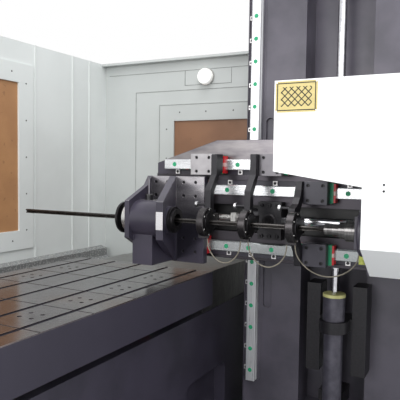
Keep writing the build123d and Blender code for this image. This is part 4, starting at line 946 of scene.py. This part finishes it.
def addNose(s):
    parts = (("collar", "darkSteel", "dark_steel"), ("nose", "turnedSteel", "bright_steel"))
    for name, metal, slot in parts:
        form = bmesh.new()
        lathe(form, (s["left"], *drillAxis), (-1, 0, 0), s[name], 48, bored=True)
        addPiece("bush_" + name, form, "bush", metals[metal])


addNose(noseSettings)


# six small screws around each guide ring
ringSettings = {
    "faces": {"guide_1": -0.264, "guide_2": -0.086, "guide_3": 0.104},
    "circle": 0.050,
    "firstAngle": 30,
    "count": 6,
    "radius": 0.0032,
    "height": 0.0022,
}


def fitRingScrews(s):
    axisY, axisZ = drillAxis
    for body, x in s["faces"].items():
        screws = bmesh.new()
        for i in range(s["count"]):
            angle = math.radians(s["firstAngle"] + 360 / s["count"] * i)
            centre = (x, axisY + s["circle"] * math.cos(angle), axisZ + s["circle"] * math.sin(angle))
            socketScrew(screws, centre, (1, 0, 0), s["radius"], s["height"])
        addPiece(body + "_ring_screws", screws, body, metals["turnedSteel"])


fitRingScrews(ringSettings)
print("screws fitted")


# plain brass plate with a ruled border and a lattice, held by four pins
badgeSettings = {
    "low": (0.112, 1.620),
    "high": (0.249, 1.718),
    "front": -0.067,
    "thick": 0.0012,
    "bedded": 0.0002,
    "corner": 0.008,
    "cornerSteps": 5,
    "brass": (tone(142, 130, 84), tone(168, 156, 108)),
    "etched": tone(34, 31, 27),
    "border": (0.0050, 0.0082),
    "field": 0.018,
    "lattice": 0.022,
    "line": 0.0024,
    "pinInset": 0.0045,
    "pin": [(0.0026, -0.0005), (0.0024, 0.0006), (0.0012, 0.0011)],
}


def brassFinish(s):
    f = Finish("plateBrass")
    (lowX, lowZ), (highX, highZ) = s["low"], s["high"]
    inset = (f.x - lowX).lesser(highX - f.x).lesser(f.z - lowZ).lesser(highZ - f.z)
    rising, falling = (abs((slope % s["lattice"]) - s["lattice"] / 2) < s["line"]
                       for slope in (f.x + f.z, f.x - f.z))
    etched = f.band(inset, *s["border"]).greater((inset > s["field"]) * rising.greater(falling))
    color = f.blendColor(f.noise(40, 4, (1, 1, 8)), *s["brass"])
    color = f.blendColor(etched, color, s["etched"])
    return f.close(color, 0.34 + etched * 0.3, 0.6 - etched * 0.5, f.bump(1 - etched, 0.2, 0.0004))


def addBadge(s):
    (lowX, lowZ), (highX, highZ) = s["low"], s["high"]
    plate = bmesh.new()
    outline = []
    corners = ((highX, highZ, 0), (lowX, highZ, 90), (lowX, lowZ, 180), (highX, lowZ, 270))
    for cornerX, cornerZ, start in corners:
        inX = cornerX - s["corner"] * (1 if cornerX == highX else -1)
        inZ = cornerZ - s["corner"] * (1 if cornerZ == highZ else -1)
        for step in range(s["cornerSteps"] + 1):
            angle = math.radians(start + 90 / s["cornerSteps"] * step)
            outline.append((inX + s["corner"] * math.cos(angle), inZ + s["corner"] * math.sin(angle)))
    backLoop = [plate.verts.new((x, s["front"] + s["bedded"], z)) for x, z in outline]
    frontLoop = [plate.verts.new((x, s["front"] - s["thick"], z)) for x, z in outline]
    count = len(outline)
    for i in range(count):
        j = (i + 1) % count
        plate.faces.new((backLoop[i], backLoop[j], frontLoop[j], frontLoop[i]))
    plate.faces.new(frontLoop)
    plate.faces.new(list(reversed(backLoop)))
    addPiece("brass_plate", plate, "beam", brassFinish(s))
    pins = bmesh.new()
    for x in (lowX + s["pinInset"], highX - s["pinInset"]):
        for z in (lowZ + s["pinInset"], highZ - s["pinInset"]):
            lathe(pins, (x, s["front"] - s["thick"], z), toFront, s["pin"], 16)
    addPiece("plate_pins", pins, "beam", metals["turnedSteel"])


addBadge(badgeSettings)


# two screws at each end of the cover's seam
coverScrewSettings = {
    "columns": (0.455, 1.150),
    "rows": (1.397, 1.378),
    "face": -0.067,
    "radius": 0.0034,
    "height": 0.002,
}


def fitCoverScrews(s):
    screws = bmesh.new()
    for x in s["columns"]:
        for z in s["rows"]:
            socketScrew(screws, (x, s["face"], z), toFront, s["radius"], s["height"])
    addPiece("cover_screws", screws, "beam", metals["darkSteel"])


fitCoverScrews(coverScrewSettings)


# lamp bezel on the back wall
bezelSettings = {
    "place": (-0.788, 1.218, 1.988),
    "rings": [(0.0515, 0.0), (0.0515, 0.010), (0.0500, 0.016), (0.0465, 0.016), (0.0465, 0.0)],
}


def addBezel(s):
    bezel = bmesh.new()
    lathe(bezel, s["place"], toFront, s["rings"], 40)
    addPiece("lamp_bezel", bezel, "base", metals["turnedSteel"])


addBezel(bezelSettings)


# domed rivets around the two window frames
rivetSettings = {
    "dome": [(0.005, -0.0005), (0.004, 0.0014), (0.0015, 0.002)],
    "leftX": -1.526,
    "left": {"middle": (-0.005, 1.488), "half": (0.502, 0.452), "count": 5, "pitch": 0.20},
    "backY": 1.209,
    "back": {"middle": (-0.697, 1.411), "half": (0.362, 0.372), "count": 4, "pitch": 0.18},
}


def framePlaces(window):
    (middle, middleZ), (half, halfZ) = window["middle"], window["half"]
    steps = [window["pitch"] * (i - (window["count"] - 1) / 2) for i in range(window["count"])]
    upright = [(edge, middleZ + step) for edge in (middle - half, middle + half) for step in steps]
    level = [(middle + step, edge) for edge in (middleZ - halfZ, middleZ + halfZ) for step in steps]
    return upright + level


def addRivets(s):
    rivets = bmesh.new()
    for y, z in framePlaces(s["left"]):
        lathe(rivets, (s["leftX"], y, z), (1, 0, 0), s["dome"], 12)
    for x, z in framePlaces(s["back"]):
        lathe(rivets, (x, s["backY"], z), toFront, s["dome"], 12)
    addPiece("wall_rivets", rivets, "base", paints["rivetGrey"])


addRivets(rivetSettings)


# folded edges of the back wall's panels, seen as fine lines: strips in a grey darker than the wall, painted
# shade along the folds
seamSettings = {
    "wallY": 1.218,
    "width": 0.0032,
    # how far they stand out, then low x, low z, high x and high z of each
    "groups": [
        (0.0016, [(-1.293, 0.950, -1.293, 1.917), (-1.293, 1.917, -0.300, 1.917),
                  (-1.500, 2.035, -0.300, 2.035), (-0.936, 1.945, -0.936, 2.035),
                  (-0.626, 1.945, -0.626, 2.035), (-0.936, 1.945, -0.626, 1.945)]),
        (0.0106, [(-1.110, 0.950, -1.110, 1.830), (-1.110, 1.830, -0.300, 1.830)]),
    ],
}


def addSeams(s):
    seams = bmesh.new()
    for proud, lines in s["groups"]:
        for lowX, lowZ, highX, highZ in lines:
            size = (highX - lowX + s["width"], proud + sunk, highZ - lowZ + s["width"])
            middle = ((lowX + highX) / 2, s["wallY"] + sunk - size[1] / 2, (lowZ + highZ) / 2)
            bmesh.ops.create_cube(seams, matrix=Matrix.LocRotScale(middle, None, size))
    addPiece("wall_seams", seams, "base", paints["seamShadeGrey"])


addSeams(seamSettings)
print("plate, lamp, rivets and seams added")


# floor: pale near the machine, where its shadow falls, and white further off as the backdrop is
floorSettings = {"reach": 14, "pale": tone(236, 236, 236), "fade": (2.2, 4.6)}


def floorFinish(s):
    f = Finish("paleFloor")
    distance = f.node("ShaderNodeVectorMath", {"operation": "LENGTH"}, {0: f.place}, "Value")
    near = f.node("ShaderNodeBsdfPrincipled", inputs={"Base Color": s["pale"], "Roughness": 0.7})
    far = f.node("ShaderNodeEmission", inputs={"Color": (1, 1, 1, 1), "Strength": 1.0})
    share = f.seen() * f.ease(distance, *s["fade"])
    shader = f.node("ShaderNodeMixShader", inputs={0: share, 1: near, 2: far})
    f.node("ShaderNodeOutputMaterial", inputs={"Surface": shader})
    return f.material


def addFloor(s):
    floor = bmesh.new()
    reach = s["reach"]
    corners = ((-reach, -reach), (reach, -reach), (reach, reach), (-reach, reach))
    floor.faces.new([floor.verts.new((x, y, 0)) for x, y in corners])
    mesh = bpy.data.meshes.new("floor")
    floor.to_mesh(mesh)
    floor.free()
    mesh.materials.append(floorFinish(s))
    addObject("floor", mesh)


# world: a soft light on the machine, and plain white where it is seen or mirrored
worldSettings = {"soft": (0.95, 0.97, 1.0, 1), "strength": 0.75}


def addWorld(s):
    world = bpy.data.worlds.new("studio")
    world.use_nodes = True
    bpy.context.scene.world = world
    sky = NodeTree(world.node_tree)
    soft = sky.node("ShaderNodeBackground", inputs={"Color": s["soft"], "Strength": s["strength"]})
    white = sky.node("ShaderNodeBackground", inputs={"Color": (1, 1, 1, 1)})
    mixed = sky.node("ShaderNodeMixShader", inputs={0: sky.seen(), 1: soft, 2: white})
    sky.node("ShaderNodeOutputWorld", inputs={"Surface": mixed})


# lamps: place, point that they light, size in metres, watts
lampSettings = {
    "key": ((2.6, -3.6, 3.6), (0.0, 0.3, 1.1), 2.4, 94),
    "top": ((-0.2, -0.4, 4.4), (-0.2, 0.2, 0.8), 2.6, 70),
    "side": ((-1.0, -3.6, 2.2), (-0.5, 0.3, 1.1), 1.8, 48),
}


def addLamps(s):
    for name, (place, aim, size, power) in s.items():
        data = bpy.data.lights.new(name, "AREA")
        data.size = size
        data.energy = power
        lamp = addObject(name, data)
        lamp.location = place
        lamp.rotation_euler = (Vector(aim) - Vector(place)).to_track_quat("-Z", "Y").to_euler()


addFloor(floorSettings)
addWorld(worldSettings)
addLamps(lampSettings)
bpy.context.scene.view_settings.view_transform = "Standard"
print("studio lit")
